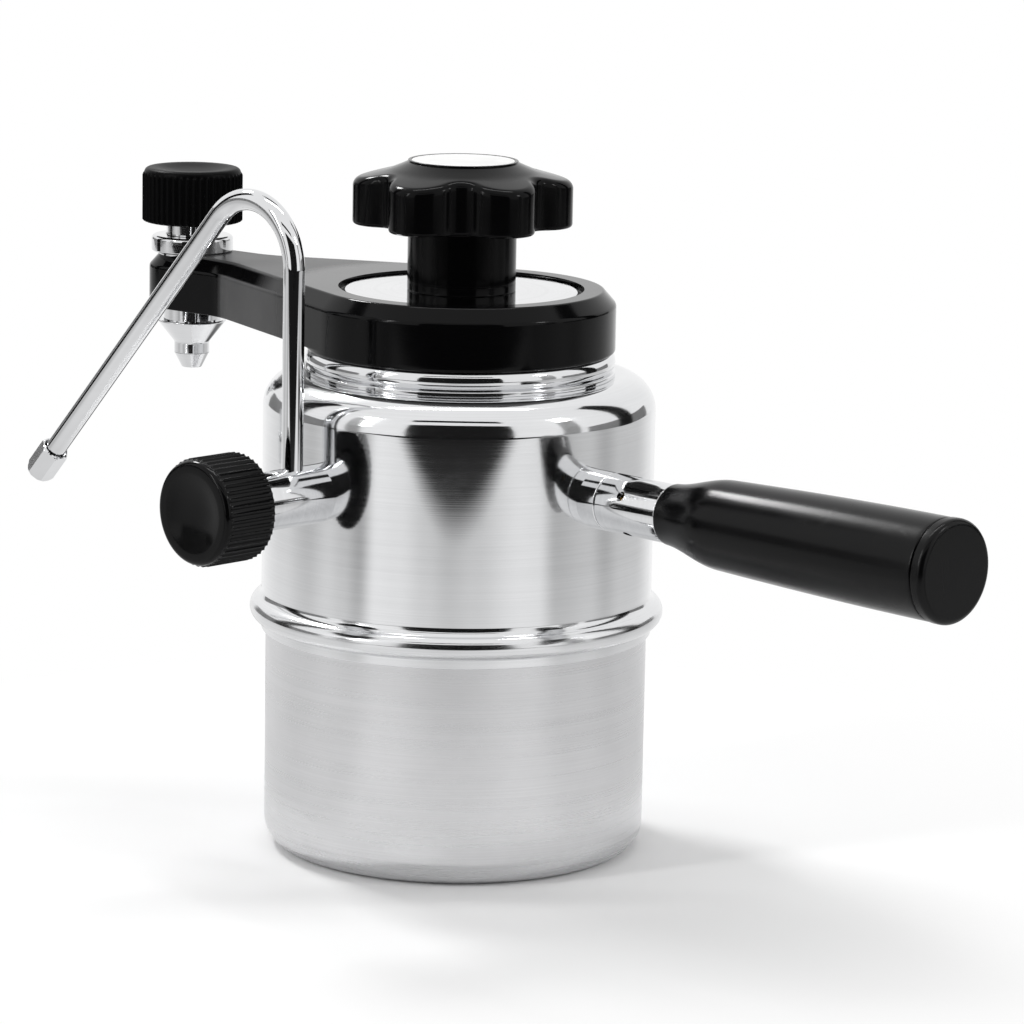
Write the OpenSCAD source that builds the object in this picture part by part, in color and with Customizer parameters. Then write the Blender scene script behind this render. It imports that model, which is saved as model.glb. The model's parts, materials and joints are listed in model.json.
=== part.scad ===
// Stovetop espresso maker. A rolled-seam boiler holds a coffee basket on a centre stud.
// A star knob screws the lid casting down, and the casting's arm carries the brew valve.
// A steam valve with a bent wand and a handle with a safety valve in its root sit on the boiler wall.
// Millimetres, +Z up, origin in the middle of the base, handle along +X, steam valve along -Y.

/* [Boiler] */
// Outer radius of the lower cup
cup_r = 50; // [46:0.5:56]
// Thickness of the pressed sheet
sheet_t = 1; // [0.8:0.1:1.2]
// Thickness of the cup's base
base_t = 1.6; // [1.2:0.1:3]
// Radius of the corner round the base
base_corner_r = 7; // [4:0.5:10]
// Height of the middle of the rolled bead
bead_z = 63.4; // [56:0.1:70]
// Reach of the bead past the cup's wall
bead_reach = 4.2; // [4:0.1:4.8]
// Radius of the bead's round section
bead_round_r = 3.3; // [3.1:0.1:3.6]
// Radius of the hollow above the bead
bead_flare_r = 2.6; // [1.5:0.1:4]
// Drop of the seam's lower lip below the bead's middle
bead_lip_drop = 5.6; // [4:0.1:7]
// Reach of the cup's flange inside the bead
cup_flange_reach = 2.4; // [1.6:0.1:2.6]
// Height of the flat shoulder
shoulder_z = 125.7; // [120:0.1:140]
// Radius of the shoulder's round edge
shoulder_round_r = 9; // [6:0.5:10]
// Gap between the cup's wall and the shell's lip
seam_gap = 0.13; // [0.1:0.01:0.3]

/* [Neck] */
// Outer radius of the neck ring
neck_r = 40.4; // [40:0.1:42]
// Height of the neck ring above the shoulder
neck_h = 6.1; // [5:0.1:8]
// Height of the thin lip at the foot of the neck ring
neck_lip_h = 1.2; // [0.8:0.1:2]
// Radius of the mouth that the basket hangs in
mouth_r = 34.6; // [34:0.1:35]
// Wall of the neck ring where it passes through the shell
neck_wall_t = 1.4; // [1.2:0.1:1.8]
// Outer radius of the rim that the basket's flange rests on
rim_r = 37.6; // [37:0.1:38]
// Height of that rim above the neck ring
rim_h = 2; // [1.5:0.1:2.5]
// Depth of the neck ring below the shell's top sheet
neck_root_h = 1; // [0.6:0.1:2]

/* [Centre stud] */
// Height of the top of the bridge bar
bridge_z = 88; // [84:0.5:90]
// Thickness of the bridge bar
bridge_t = 4; // [3:0.5:5]
// Width of the bridge bar
bridge_w = 14; // [12:0.5:18]
// Height of the bridge bar's welded end tabs
bridge_tab_h = 8; // [5:0.5:12]
// Radius of the threaded stud
stud_r = 5; // [4.5:0.1:5.5]
// Height of the stud's top
stud_top_z = 158; // [152:0.5:159]
// Radius of the stud's shoulder
stud_collar_r = 6.5; // [6:0.1:8]
// Height of the stud's shoulder
stud_collar_h = 2; // [1:0.1:3]
// Radius of the stud's root in the bar
stud_root_r = 4; // [3.5:0.1:4.3]
// Width across flats of the stud's nut
stud_nut_af = 13; // [11:0.5:14]
// Thickness of the stud's nut
stud_nut_h = 5; // [4:0.5:7]

/* [Coffee basket] */
// Thickness of the basket's sheet
basket_t = 0.6; // [0.5:0.1:0.8]
// Outer radius of the basket's wall
basket_r = 34; // [33.4:0.1:34.2]
// Reach of the basket's flange past its wall
basket_flange_reach = 3.4; // [3:0.1:3.5]
// Thickness of the basket's flange
basket_flange_t = 0.8; // [0.6:0.1:1]
// Depth of the basket below its flange
basket_depth = 38; // [30:0.5:40]
// Inner radius of the sleeve round the stud
sleeve_r = 10.2; // [10:0.1:10.6]
// Height of the sleeve's top below the flange's underside
sleeve_drop = 0.2; // [0.1:0.1:0.4]
// Height of the screen above the basket's bottom
screen_lift = 2.4; // [2:0.1:4]
// Radius of the screens' holes
screen_hole_r = 0.9; // [0.6:0.1:1]
// Thickness of the screens
screen_t = 0.8; // [0.5:0.1:1]
// Number of rings of holes in a screen
screen_rings = 3; // [2:1:3]
// Number of holes in a screen's first ring
screen_first_count = 12; // [8:2:14]
// Number of holes that each further ring adds
screen_more_count = 8; // [4:2:10]
// Outer radius of the intake tube
intake_r = 3.5; // [3:0.1:4]
// Wall of the intake tube
intake_wall_t = 0.8; // [0.6:0.1:1]
// Distance of the intake tube from the stud
intake_reach = 25.4; // [22:0.1:27]
// Gap between the intake tube's foot and the base
intake_foot_gap = 6.4; // [4:0.1:12]
// Radius of the intake tube's flange
intake_flange_r = 5; // [4.6:0.1:6]

/* [Lid] */
// Turn of the arm toward the steam valve, in degrees
arm_turn = 6.5; // [-10:0.5:15]
// Height of the lid's rim above the neck ring
lid_h = 16.1; // [15:0.1:17]
// Gap between the lid's outer radius and the neck ring's
lid_step = 0.1; // [0:0.1:1]
// Inset of the bevel round the top
lid_bevel_in = 3.3; // [2:0.1:3.6]
// Drop of the bevel round the top
lid_bevel_drop = 3.7; // [2:0.1:4]
// Drop of the bevel round the bottom
lid_foot_bevel = 0.8; // [0.4:0.1:1.2]
// Gap between the lid's skirt and the neck ring's rim
skirt_gap = 0.6; // [0.4:0.1:0.8]
// Thickness of the head gasket
gasket_t = 2.4; // [2:0.1:3]
// Width of the head gasket
gasket_w = 3.3; // [2.8:0.1:3.4]
// Radius of the coffee chamber under the lid
chamber_r = 33; // [30:0.5:33.4]
// Depth of the coffee chamber
chamber_h = 2.2; // [1.6:0.1:3]
// Outer radius of the hub under the lid
hub_r = 11.3; // [11.2:0.1:12]
// Depth of the hub below the gasket's top face
hub_drop = 1.6; // [1:0.1:2]
// Radius of the recess in the lid's top
lid_recess_r = 31.95; // [31:0.05:33]
// Depth of the recess in the lid's top
lid_recess_h = 1.9; // [1.5:0.1:2.5]
// Radius of the bright disc
disc_r = 30.4; // [28:0.1:30.8]
// Thickness of the bright disc
disc_t = 1.2; // [0.8:0.1:1.5]
// Round on the bright disc's edge
disc_round_r = 0.5; // [0.2:0.1:0.6]

/* [Arm] */
// Distance of the brew valve from the stud
arm_reach = 94.5; // [90:0.5:110]
// Radius of the arm's head
arm_head_r = 11.6; // [11:0.1:14]
// Distance of the arm's bend from the stud
arm_bend_reach = 74; // [68:0.5:78]
// Height of the arm's underside above the lid's foot
arm_lift = 1.2; // [1:0.1:3]
// Radius of the coffee passage in the arm
passage_r = 1.8; // [1.4:0.1:2]

/* [Brew valve] */
// Radius of the chrome nut
valve_nut_r = 11.05; // [10.5:0.05:11.4]
// Height of the chrome nut
valve_nut_h = 4.4; // [4:0.1:5]
// Round on the chrome nut's edge
valve_nut_round_r = 1; // [0.5:0.1:1.5]
// Radius of the nut's shank in the arm
valve_shank_r = 9; // [8.6:0.1:9.4]
// Length of the nut's shank
valve_shank_h = 6.9; // [6:0.1:7.2]
// Radius of the valve chamber below the nut
valve_chamber_r = 4; // [3.8:0.1:5]
// Depth of the valve chamber
valve_chamber_h = 4; // [3.8:0.1:5]
// Radius of the spindle
spindle_r = 7; // [6:0.1:7.2]
// Bright length of spindle between the nut and the knob
spindle_show_h = 3.6; // [3:0.1:6]
// Radius of the spindle's pin in the knob
spindle_pin_r = 4; // [3:0.1:5]
// Length of the spindle's pin
spindle_pin_h = 10; // [8:0.1:11]
// Radius of the spindle's needle
needle_r = 3; // [2.6:0.1:3.3]
// Height of the needle's cone
needle_cone_h = 2; // [1.6:0.1:2.2]
// Radius of the valve seat's hole
seat_hole_r = 2; // [1.5:0.1:2.2]
// Radius of the brew knob
brew_knob_r = 13.6; // [12:0.1:15]
// Height of the brew knob
brew_knob_h = 14.7; // [12:0.1:18]
// Depth of the dish in a small knob's face
small_dish_h = 1.2; // [0.8:0.1:2]
// Share of a small knob's face that its dish takes
small_dish_share = 0.72; // [0.6:0.02:0.8]
// Depth of the ribs on the small knobs
rib_h = 0.5; // [0.3:0.1:0.6]
// Number of ribs round each small knob
rib_count = 48; // [36:4:60]
// Plain band at each end of a small knob's ribs
small_knob_band_h = 1.4; // [1:0.1:2]
// Lift of the brew valve's spindle per turn
brew_pitch = 1; // [0.8:0.1:1.5]

/* [Brew nozzle] */
// Radius of the nozzle's collar under the arm
nozzle_collar_r = 7.8; // [7:0.1:8.5]
// Height of the nozzle's collar
nozzle_collar_h = 3.8; // [3:0.1:4.5]
// Radius of the nozzle's cone at its rim
nozzle_cone_r = 9.66; // [9:0.1:11]
// Height of the nozzle's cone
nozzle_cone_h = 6.2; // [5:0.1:7]
// Radius of the nozzle's neck
nozzle_neck_r = 4.77; // [4:0.1:5.5]
// Height of the nozzle's neck
nozzle_neck_h = 3; // [2:0.1:4]
// Radius of the nozzle's shank in the arm
nozzle_shank_r = 6; // [5.5:0.1:6.5]
// Radius of the spout's opening
spout_r = 1.4; // [1:0.1:1.6]
// Outer radius of the spout's end
spout_end_r = 2.7; // [2.2:0.1:3]
// Height of the spout's cone
spout_h = 4; // [3:0.1:6]
// Radius of the spout's spigot
spout_spigot_r = 3.2; // [3:0.1:3.6]
// Length of the spout's spigot
spout_spigot_h = 5; // [4:0.1:6]

/* [Star knob] */
// Radius of the knob's stem
stem_r = 14.1; // [13.5:0.1:15]
// Height of the star's underside above the disc
star_lift = 16.8; // [14:0.1:22]
// Height of the star's side
star_side_h = 12; // [9:0.1:15]
// Rise of the star's top from its side to its middle
star_rise = 4.5; // [3:0.1:6]
// Radius to the star's points
star_r = 28.5; // [27:0.1:32]
// Radius to the star's valleys
star_valley_r = 21.9; // [21:0.1:23]
// Radius of the round of each point
star_point_round_r = 9; // [8:0.1:10]
// Radius of the hollow in each valley
star_valley_round_r = 5; // [4:0.1:7]
// Number of points on the star
star_points = 6; // [5:1:7]
// Radius of the knob's raised rim
knob_rim_r = 14.3; // [13.8:0.1:16]
// Width of the knob's raised rim
knob_rim_w = 0.9; // [0.6:0.1:1.2]
// Height of the knob's raised rim
knob_rim_h = 0.5; // [0.3:0.1:1]
// Thickness of the label disc
label_t = 0.8; // [0.4:0.1:1]
// Outer radius of the brass insert
insert_r = 8.8; // [8.4:0.1:10]
// Radius of the insert's neck
insert_neck_r = 8; // [7.4:0.1:8.2]
// Height of the insert above the disc
insert_h = 14.8; // [12:0.1:18]
// Gap under the insert's wide part
insert_lift = 0.6; // [0.3:0.1:1]
// Travel of the knob before its clip meets the hub
knob_travel = 8; // [6:0.5:9]
// Thickness of the insert's clip
clip_t = 1; // [0.8:0.1:1.2]
// Reach of the clip past the insert's neck
clip_reach = 1.3; // [1:0.1:1.3]
// Depth of the clip's groove
clip_groove_h = 0.8; // [0.5:0.1:1]
// Length of the insert below its clip
insert_tail_h = 1; // [0.8:0.1:2]

/* [Ports] */
// Height of the handle's and the steam valve's axes
port_z = 99.5; // [96:0.5:108]
// Radius of the handle's ferrule and the steam valve's tube
port_r = 7.5; // [7:0.1:8.5]
// Radius of the holes in the boiler's wall
wall_hole_r = 4; // [3.6:0.1:4.6]
// Reach of a fitting's spigot inside the boiler's wall
wall_spigot_h = 2.2; // [1.6:0.1:4]
// Radius of the steam bores
steam_bore_r = 2; // [1.5:0.1:2.4]

/* [Steam valve] */
// Distance of the steam valve's seat from the boiler's axis
steam_seat_reach = 54.5; // [54:0.1:56]
// Distance of the wand from the boiler's axis
wand_reach = 58.6; // [58.2:0.1:60]
// Distance of the gland's inner face from the boiler's axis
gland_reach = 63; // [62.6:0.1:64]
// Distance of the valve tube's end from the boiler's axis
steam_body_reach = 78; // [77:0.1:80]
// Radius of the steam chamber
steam_chamber_r = 3.4; // [3.3:0.1:4]
// Radius of the gland
gland_r = 5.6; // [5:0.1:6]
// Radius of the steam spindle
steam_stem_r = 2.6; // [2.2:0.1:3]
// Radius of the steam knob
steam_knob_r = 13.7; // [12:0.1:15]
// Length of the steam knob
steam_knob_h = 16; // [12:0.5:20]
// Length of the valve tube hidden in the knob
steam_knob_cover_h = 2; // [1:0.1:3]
// Gap between the valve tube and the knob
steam_knob_gap = 0.6; // [0.4:0.1:0.8]

/* [Steam wand] */
// Radius of the wand's tube
wand_r = 2.75; // [2.5:0.05:3]
// Wall of the wand's tube
wand_wall_t = 0.9; // [0.7:0.1:1]
// Height of the wand's straight rise
wand_bend_z = 157.2; // [150:0.1:165]
// Radius of the wand's bend
wand_bend_r = 16.3; // [14:0.1:18]
// Turn of the wand's bend, in degrees
wand_turn = 136.7; // [130:0.1:140]
// Length of the wand's slanting leg
wand_leg_h = 99.5; // [88:0.1:106]
// Width across flats of the wand's nozzle
wand_nozzle_af = 7; // [6.5:0.1:8]
// Length of the wand's nozzle
wand_nozzle_h = 10.2; // [8:0.1:12]
// Depth of the tube's end in the nozzle
wand_socket_h = 4; // [3:0.1:6]
// Radius of the nozzle's opening
wand_jet_r = 0.8; // [0.5:0.1:1]

/* [Handle] */
// Distance of the groove line from the boiler's axis
ferrule_reach = 56.4; // [55:0.1:58]
// Distance of the grip's root from the boiler's axis
grip_reach = 77.3; // [75:0.1:80]
// Length of the grip
grip_h = 87.7; // [80:0.1:110]
// Radius of the grip at its root
grip_root_r = 7.8; // [7.6:0.1:8.4]
// Radius of the grip past its root
grip_mid_r = 10.7; // [10:0.1:12]
// Radius of the grip at its end
grip_end_r = 12.75; // [12:0.05:14]
// Thickness of the end cap
cap_t = 3.5; // [3:0.1:6]
// Step between the end cap and the grip
cap_step = 0.15; // [0.1:0.05:0.4]
// Round on the end cap's edge
cap_round_r = 1.2; // [0.6:0.1:2]
// Width of the groove between the grip and its cap
cap_groove_w = 0.5; // [0.3:0.1:1]
// Depth of the groove between the grip and its cap
cap_groove_h = 1; // [0.5:0.1:1.5]
// Radius of the long bolt
bolt_r = 2.5; // [2:0.1:3]
// Radius of the bolt's head
bolt_head_r = 4.6; // [4:0.1:5]
// Height of the bolt's head
bolt_head_h = 4; // [3:0.1:5]
// Thickness of the bolt's washer
washer_t = 1; // [0.8:0.1:1.5]
// Radius of the counterbore at the grip's end
counterbore_r = 5.5; // [5.2:0.1:6.5]
// Depth of the counterbore at the grip's end
counterbore_h = 11; // [10:0.5:16]
// Length of the cap's spigot
cap_spigot_h = 4.5; // [3:0.1:5]

/* [Safety valve] */
// Wall of the safety valve's housing
housing_wall_t = 1.5; // [1.2:0.1:2]
// Length of the boss's spigot in the housing
boss_spigot_h = 4.6; // [4:0.1:5]
// Thickness of the seat disc
seat_t = 2; // [1.5:0.1:2.5]
// Radius of the seat's hole
safety_hole_r = 1.5; // [1.2:0.1:2]
// Radius of the poppet's flange
poppet_r = 4.2; // [4:0.1:4.6]
// Thickness of the poppet's flange
poppet_flange_t = 1.2; // [1:0.1:1.5]
// Gap round the poppet's nose in the seat's hole
poppet_nose_gap = 0.3; // [0.2:0.05:0.5]
// Radius of the poppet's guide pin
poppet_pin_r = 1.6; // [1.2:0.1:1.8]
// Length of the poppet's guide pin past the spring
poppet_pin_h = 1.2; // [0.8:0.1:1.4]
// Length of the safety spring
spring_h = 6.4; // [6:0.1:6.8]
// Radius of the spring's coil
spring_r = 2.9; // [2.6:0.1:3.2]
// Radius of the spring's wire
spring_wire_r = 0.4; // [0.3:0.05:0.5]
// Number of turns of the spring
spring_turns = 4; // [3:1:5]
// Radius of the vent holes
vent_r = 1.25; // [1:0.05:1.5]
// Distance of the vent holes from the boiler's axis
vent_reach = 65; // [64.6:0.1:66]
// Turn of the vent holes round the handle, in degrees
vent_turn = 61; // [45:1:75]
// Lift of the safety valve
safety_lift = 1.2; // [0.8:0.1:1.4]
// Length of the bolt's thread in the spring plug
bolt_thread_h = 3; // [2.5:0.1:3.2]

/* [Seals and fits] */
// Gap all round a pin or shaft that turns or slides
run_fit = 0.05; // [0.03:0.01:0.08]
// Gap all round a fixed part in its hole
still_fit = 0.04; // [0.02:0.01:0.06]
// Section radius of the stem's seal ring
stem_ring_section_r = 0.9; // [0.8:0.1:1]
// Section radius of the valve's seal rings
valve_ring_section_r = 0.6; // [0.5:0.1:0.7]
// Width of the centre seal
centre_seal_w = 1.6; // [1.4:0.1:1.8]
// Small bevel on turned edges
edge_bevel = 0.4; // [0.2:0.1:0.6]

/* [Hidden] */
$fn = 72;

// Radii and heights of the boiler
shell_in_r = cup_r + seam_gap;
shell_r = shell_in_r + sheet_t;
bead_middle_r = cup_r + bead_reach - bead_round_r;
flare_middle_r = shell_r + bead_flare_r;
flare_rise = sqrt(pow(bead_round_r + bead_flare_r, 2) - pow(flare_middle_r - bead_middle_r, 2));
shell_foot_z = bead_z - bead_lip_drop;
neck_root_r = mouth_r + neck_wall_t;
neck_top_z = shoulder_z + neck_h;
rim_z = neck_top_z + rim_h;

// Heights of the basket and its seals
flange_z = rim_z + basket_flange_t;
basket_bottom_z = flange_z - basket_depth;
basket_in_r = basket_r - basket_t;
sleeve_out_r = sleeve_r + basket_t;
sleeve_top_z = rim_z - sleeve_drop;
gasket_r = rim_r - still_fit;
gasket_z = flange_z + gasket_t;
hub_z = gasket_z - hub_drop;

// Small lap that joins the wand's slanting leg to its bend, across and along
wand_lap = wand_r / 275;
wand_lap_h = wand_r / 7;

// Radii and heights of the lid
lid_r = neck_r - lid_step;
lid_foot_z = neck_top_z;
lid_z = lid_foot_z + lid_h;
skirt_r = rim_r + skirt_gap;
recess_z = lid_z - lid_recess_h;
disc_z = recess_z + disc_t;
arm_z = lid_foot_z + arm_lift;
bevel_z = lid_z - lid_bevel_drop;
stem_ring_z = (gasket_z + recess_z) / 2;
valve_ring_groove_h = 2 * valve_ring_section_r + 2 * still_fit;

// Heights of the brew valve
shank_z = lid_z - valve_shank_h;
seat_z = shank_z - valve_chamber_h;
nut_top_z = lid_z + valve_nut_h;
brew_knob_z = nut_top_z + spindle_show_h;
brew_travel = 1.5 * brew_pitch;
needle_top_z = shank_z + brew_travel;
passage_z = seat_z + passage_r + (valve_chamber_h - 2 * passage_r) / 2;
cone_z = arm_z - nozzle_collar_h;
neck_foot_z = cone_z - nozzle_cone_h - nozzle_neck_h;

// Heights of the star knob
star_z = disc_z + star_lift;
star_edge_z = star_z + star_side_h;
star_top_z = star_edge_z + star_rise;
knob_top_z = star_top_z + knob_rim_h;
insert_top_z = disc_z + insert_lift + insert_h;
clip_z = hub_z - knob_travel - still_fit - clip_t;
insert_foot_z = clip_z - insert_tail_h;
label_r = knob_rim_r - knob_rim_w - still_fit;
star_point_middle_r = star_r - star_point_round_r;
star_valley_middle_r = star_valley_r + star_valley_round_r;

// Distances along the handle
housing_bore_r = port_r - housing_wall_t;
boss_end = ferrule_reach + boss_spigot_h;
seat_end = boss_end + seat_t;
spring_start = seat_end + poppet_flange_t;
spring_end = spring_start + spring_h;
grip_end = grip_reach + grip_h;
counterbore_start = grip_end - counterbore_h;
handle_end = grip_end + cap_groove_w + cap_t;

// Colours
steel = [0.80, 0.81, 0.82];
bright = [0.90, 0.91, 0.93];
black = [0.05, 0.05, 0.055];
brass = [0.80, 0.62, 0.28];
rubber = [0.12, 0.12, 0.12];
silicone = [0.82, 0.80, 0.76];
paper = [0.95, 0.95, 0.94];

// A plain tube standing on z0
module tube(r_out, r_in, z0, z1) {
    translate([0, 0, z0])
        difference() {
            cylinder(r = r_out, h = z1 - z0);
            cylinder(r = r_in, h = z1 - z0);
        }
}

// A rod standing on z0
module rod(r, z0, z1) {
    translate([0, 0, z0])
        cylinder(r = r, h = z1 - z0);
}

// A rod whose top edge is bevelled
module bevelled_rod(r, z0, z1, bevel) {
    rod(r, z0, z1 - bevel);
    translate([0, 0, z1 - bevel])
        cylinder(r1 = r, r2 = r - bevel, h = bevel);
}

// A rod whose top edge is round
module round_rod(r, z0, z1, round_r) {
    rotate_extrude()
        half_can(r, z0, z1, round_r);
}

// Half section of a can with a round top corner
module half_can(r, z0, z1, corner_r) {
    translate([0, z0])
        square([r, z1 - z0 - corner_r]);
    translate([0, z0])
        square([r - corner_r, z1 - z0]);
    intersection() {
        translate([r - corner_r, z1 - corner_r])
            circle(corner_r);
        translate([0, z0])
            square([r, z1 - z0]);
    }
}

// Half section of a can with a round bottom corner
module half_cup(r, z0, z1, corner_r) {
    translate([0, z0 + z1])
        mirror([0, 1])
            half_can(r, z0, z1, corner_r);
}

// A round ring with a circular section
module round_ring(middle_r, section_r, z) {
    translate([0, 0, z])
        rotate_extrude()
            translate([middle_r, 0])
                circle(section_r, $fn = 24);
}

// Places a part on the port's axis along +X, its own z being the distance from the boiler's axis
module on_handle_axis() {
    translate([0, 0, port_z])
        rotate([0, 90, 0])
            children();
}

// Places a part on the port's axis along -Y, its own z being the distance from the boiler's axis
module on_steam_axis() {
    translate([0, 0, port_z])
        rotate([90, 0, 0])
            children();
}

// Places a part on the brew valve's axis
module on_brew_axis() {
    rotate([0, 0, arm_turn])
        translate([-arm_reach, 0, 0])
            children();
}

// A ribbed knob with a round outer edge and a dished face
module ribbed_knob(r, h) {
    difference() {
        union() {
            round_rod(r - rib_h, 0, h, small_knob_band_h);
            linear_extrude(h - small_knob_band_h)
                difference() {
                    circle(r);
                    for (i = [0:rib_count - 1])
                        rotate(i * 360 / rib_count)
                            translate([r + rib_h, 0])
                                circle(rib_h * 2, $fn = 16);
                }
        }
        dish(r, h);
    }
}

// The shallow bowl cut in a small knob's face
module dish(r, h) {
    bowl_r = r * small_dish_share;
    sphere_r = (pow(bowl_r, 2) + pow(small_dish_h, 2)) / (2 * small_dish_h);
    translate([0, 0, h - small_dish_h + sphere_r])
        sphere(sphere_r);
}

// Outer outline of the rolled bead and its hollow flare
module bead_section() {
    translate([bead_middle_r, bead_z])
        circle(bead_round_r);
    difference() {
        polygon([
            [bead_middle_r, bead_z], [flare_middle_r, bead_z + flare_rise],
            [bead_middle_r, bead_z + flare_rise]
        ]);
        translate([flare_middle_r, bead_z + flare_rise])
            circle(bead_flare_r);
    }
}

module boiler_cup() {
    color(steel)
        rotate_extrude() {
            difference() {
                half_cup(cup_r, 0, bead_z + sheet_t, base_corner_r);
                half_cup(cup_r - sheet_t, base_t, bead_z + sheet_t, base_corner_r - sheet_t);
            }
            translate([cup_r - sheet_t, bead_z])
                square([sheet_t + cup_flange_reach, sheet_t]);
        }
}

module boiler_shell() {
    color(bright)
        difference() {
            rotate_extrude()
                difference() {
                    union() {
                        half_can(shell_r, shell_foot_z, shoulder_z, shoulder_round_r);
                        bead_section();
                    }
                    half_can(shell_in_r, shell_foot_z, shoulder_z - sheet_t, shoulder_round_r - sheet_t);
                    translate([0, bead_z])
                        square([cup_r + cup_flange_reach + seam_gap, sheet_t]);
                }
            rod(neck_root_r, shoulder_z - sheet_t, shoulder_z);
            on_handle_axis()
                rod(wall_hole_r, cup_r - wall_spigot_h, cup_r + bead_reach);
            on_steam_axis()
                rod(wall_hole_r, cup_r - wall_spigot_h, cup_r + bead_reach);
        }
}

module neck_ring() {
    band_h = neck_h - neck_lip_h;
    bulge_r = (pow(neck_lip_h, 2) + pow(band_h / 2, 2)) / (2 * neck_lip_h);
    color(bright)
        difference() {
            union() {
                rod(neck_r, shoulder_z, shoulder_z + neck_lip_h);
                rotate_extrude()
                    intersection() {
                        translate([0, shoulder_z + neck_lip_h])
                            square([neck_r, band_h]);
                        translate([neck_r - bulge_r, shoulder_z + neck_lip_h + band_h / 2])
                            circle(bulge_r);
                    }
                rod(rim_r, shoulder_z, rim_z);
                rod(neck_root_r, shoulder_z - sheet_t - neck_root_h, shoulder_z);
            }
            rod(mouth_r, shoulder_z - sheet_t - neck_root_h, rim_z);
        }
}

module bridge_bar() {
    color(steel)
        difference() {
            intersection() {
                rod(shell_in_r, bridge_z - bridge_t, bridge_z + bridge_tab_h);
                rotate([0, 0, 135])
                    translate([-shell_r, -bridge_w / 2, bridge_z - bridge_t])
                        cube([2 * shell_r, bridge_w, bridge_t + bridge_tab_h]);
            }
            rod(shell_in_r - sheet_t * 2, bridge_z, bridge_z + bridge_tab_h);
            rod(stud_root_r + still_fit, bridge_z - bridge_t, bridge_z);
        }
}

module centre_stud() {
    color(steel) {
        rod(stud_root_r, bridge_z - bridge_t - stud_nut_h - edge_bevel, bridge_z);
        rod(stud_collar_r, bridge_z, bridge_z + stud_collar_h);
        bevelled_rod(stud_r, bridge_z, stud_top_z, stud_r / 5);
    }
}

module stud_nut() {
    nut_r = stud_nut_af / 2 / cos(30);
    color(steel)
        translate([0, 0, bridge_z - bridge_t - stud_nut_h])
            difference() {
                cylinder(r = nut_r, h = stud_nut_h, $fn = 6);
                cylinder(r = stud_root_r + still_fit, h = stud_nut_h);
            }
}

// Spins children round the stud to the intake tube's place
module on_intake_axis() {
    rotate([0, 0, 45])
        translate([intake_reach, 0, 0])
            children();
}

module coffee_basket() {
    color(steel)
        difference() {
            union() {
                tube(basket_r, basket_in_r, basket_bottom_z, flange_z);
                tube(basket_r + basket_flange_reach, basket_in_r, rim_z, flange_z);
                tube(basket_r, sleeve_r, basket_bottom_z, basket_bottom_z + basket_t);
                tube(sleeve_out_r, sleeve_r, basket_bottom_z, sleeve_top_z);
            }
            on_intake_axis()
                rod(intake_r + still_fit, basket_bottom_z, basket_bottom_z + basket_t);
        }
}

// Holes of a screen, in rings between two radii
module screen_holes(r_in, r_out, z) {
    ring_step = (r_out - r_in) / screen_rings;
    for (k = [0:screen_rings - 1]) {
        ring_r = r_in + (k + 0.5) * ring_step;
        count = screen_first_count + screen_more_count * k;
        for (i = [0:count - 1])
            rotate([0, 0, i * 360 / count])
                translate([ring_r, 0, 0])
                    rod(screen_hole_r, z, z + screen_t, $fn = 16);
    }
}

module basket_screen() {
    plate_z = basket_bottom_z + basket_t + screen_lift;
    screen_r = basket_in_r - run_fit * 2;
    screen_in_r = sleeve_out_r + run_fit * 2;
    color(bright)
        difference() {
            union() {
                tube(screen_r, screen_in_r, plate_z, plate_z + screen_t);
                tube(screen_r, screen_r - screen_t, basket_bottom_z + basket_t, plate_z);
            }
            screen_holes(screen_in_r, screen_r, plate_z);
        }
}

module intake_tube() {
    color(steel)
        on_intake_axis()
            difference() {
                union() {
                    rod(intake_r, base_t + intake_foot_gap, basket_bottom_z + basket_t);
                    rod(intake_flange_r, basket_bottom_z - intake_wall_t, basket_bottom_z);
                }
                rod(intake_r - intake_wall_t, base_t + intake_foot_gap, basket_bottom_z + basket_t);
            }
}

module head_gasket() {
    color(silicone)
        tube(gasket_r, gasket_r - gasket_w, flange_z, gasket_z);
}

module centre_seal() {
    color(silicone)
        tube(hub_r, hub_r - centre_seal_w, sleeve_top_z, hub_z);
}

module group_screen() {
    screen_r = gasket_r - gasket_w - run_fit * 2;
    color(bright)
        difference() {
            rod(screen_r, gasket_z - screen_t, gasket_z);
            rod(hub_r + run_fit * 2, gasket_z - screen_t, gasket_z);
            screen_holes(hub_r, chamber_r, gasket_z - screen_t);
        }
}

// Half section of the lid's collar, filled to the axis
module collar_section() {
    polygon([
        [0, lid_foot_z], [lid_r - lid_foot_bevel, lid_foot_z], [lid_r, lid_foot_z + lid_foot_bevel],
        [lid_r, bevel_z], [lid_r - lid_bevel_in, lid_z], [0, lid_z]
    ]);
}

// Outline of the arm across its length, with a half width at the side and the top
module arm_section(half_w) {
    top_w = half_w - lid_bevel_in;
    polygon([
        [-half_w, arm_z], [half_w, arm_z], [half_w, bevel_z],
        [top_w, lid_z], [-top_w, lid_z], [-half_w, bevel_z]
    ]);
}

// A slice of the arm at a distance from the stud
module arm_slice(reach, half_w, slice_t) {
    translate([-reach, 0, 0])
        rotate([90, 0, -90])
            linear_extrude(slice_t)
                arm_section(half_w);
}

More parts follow.
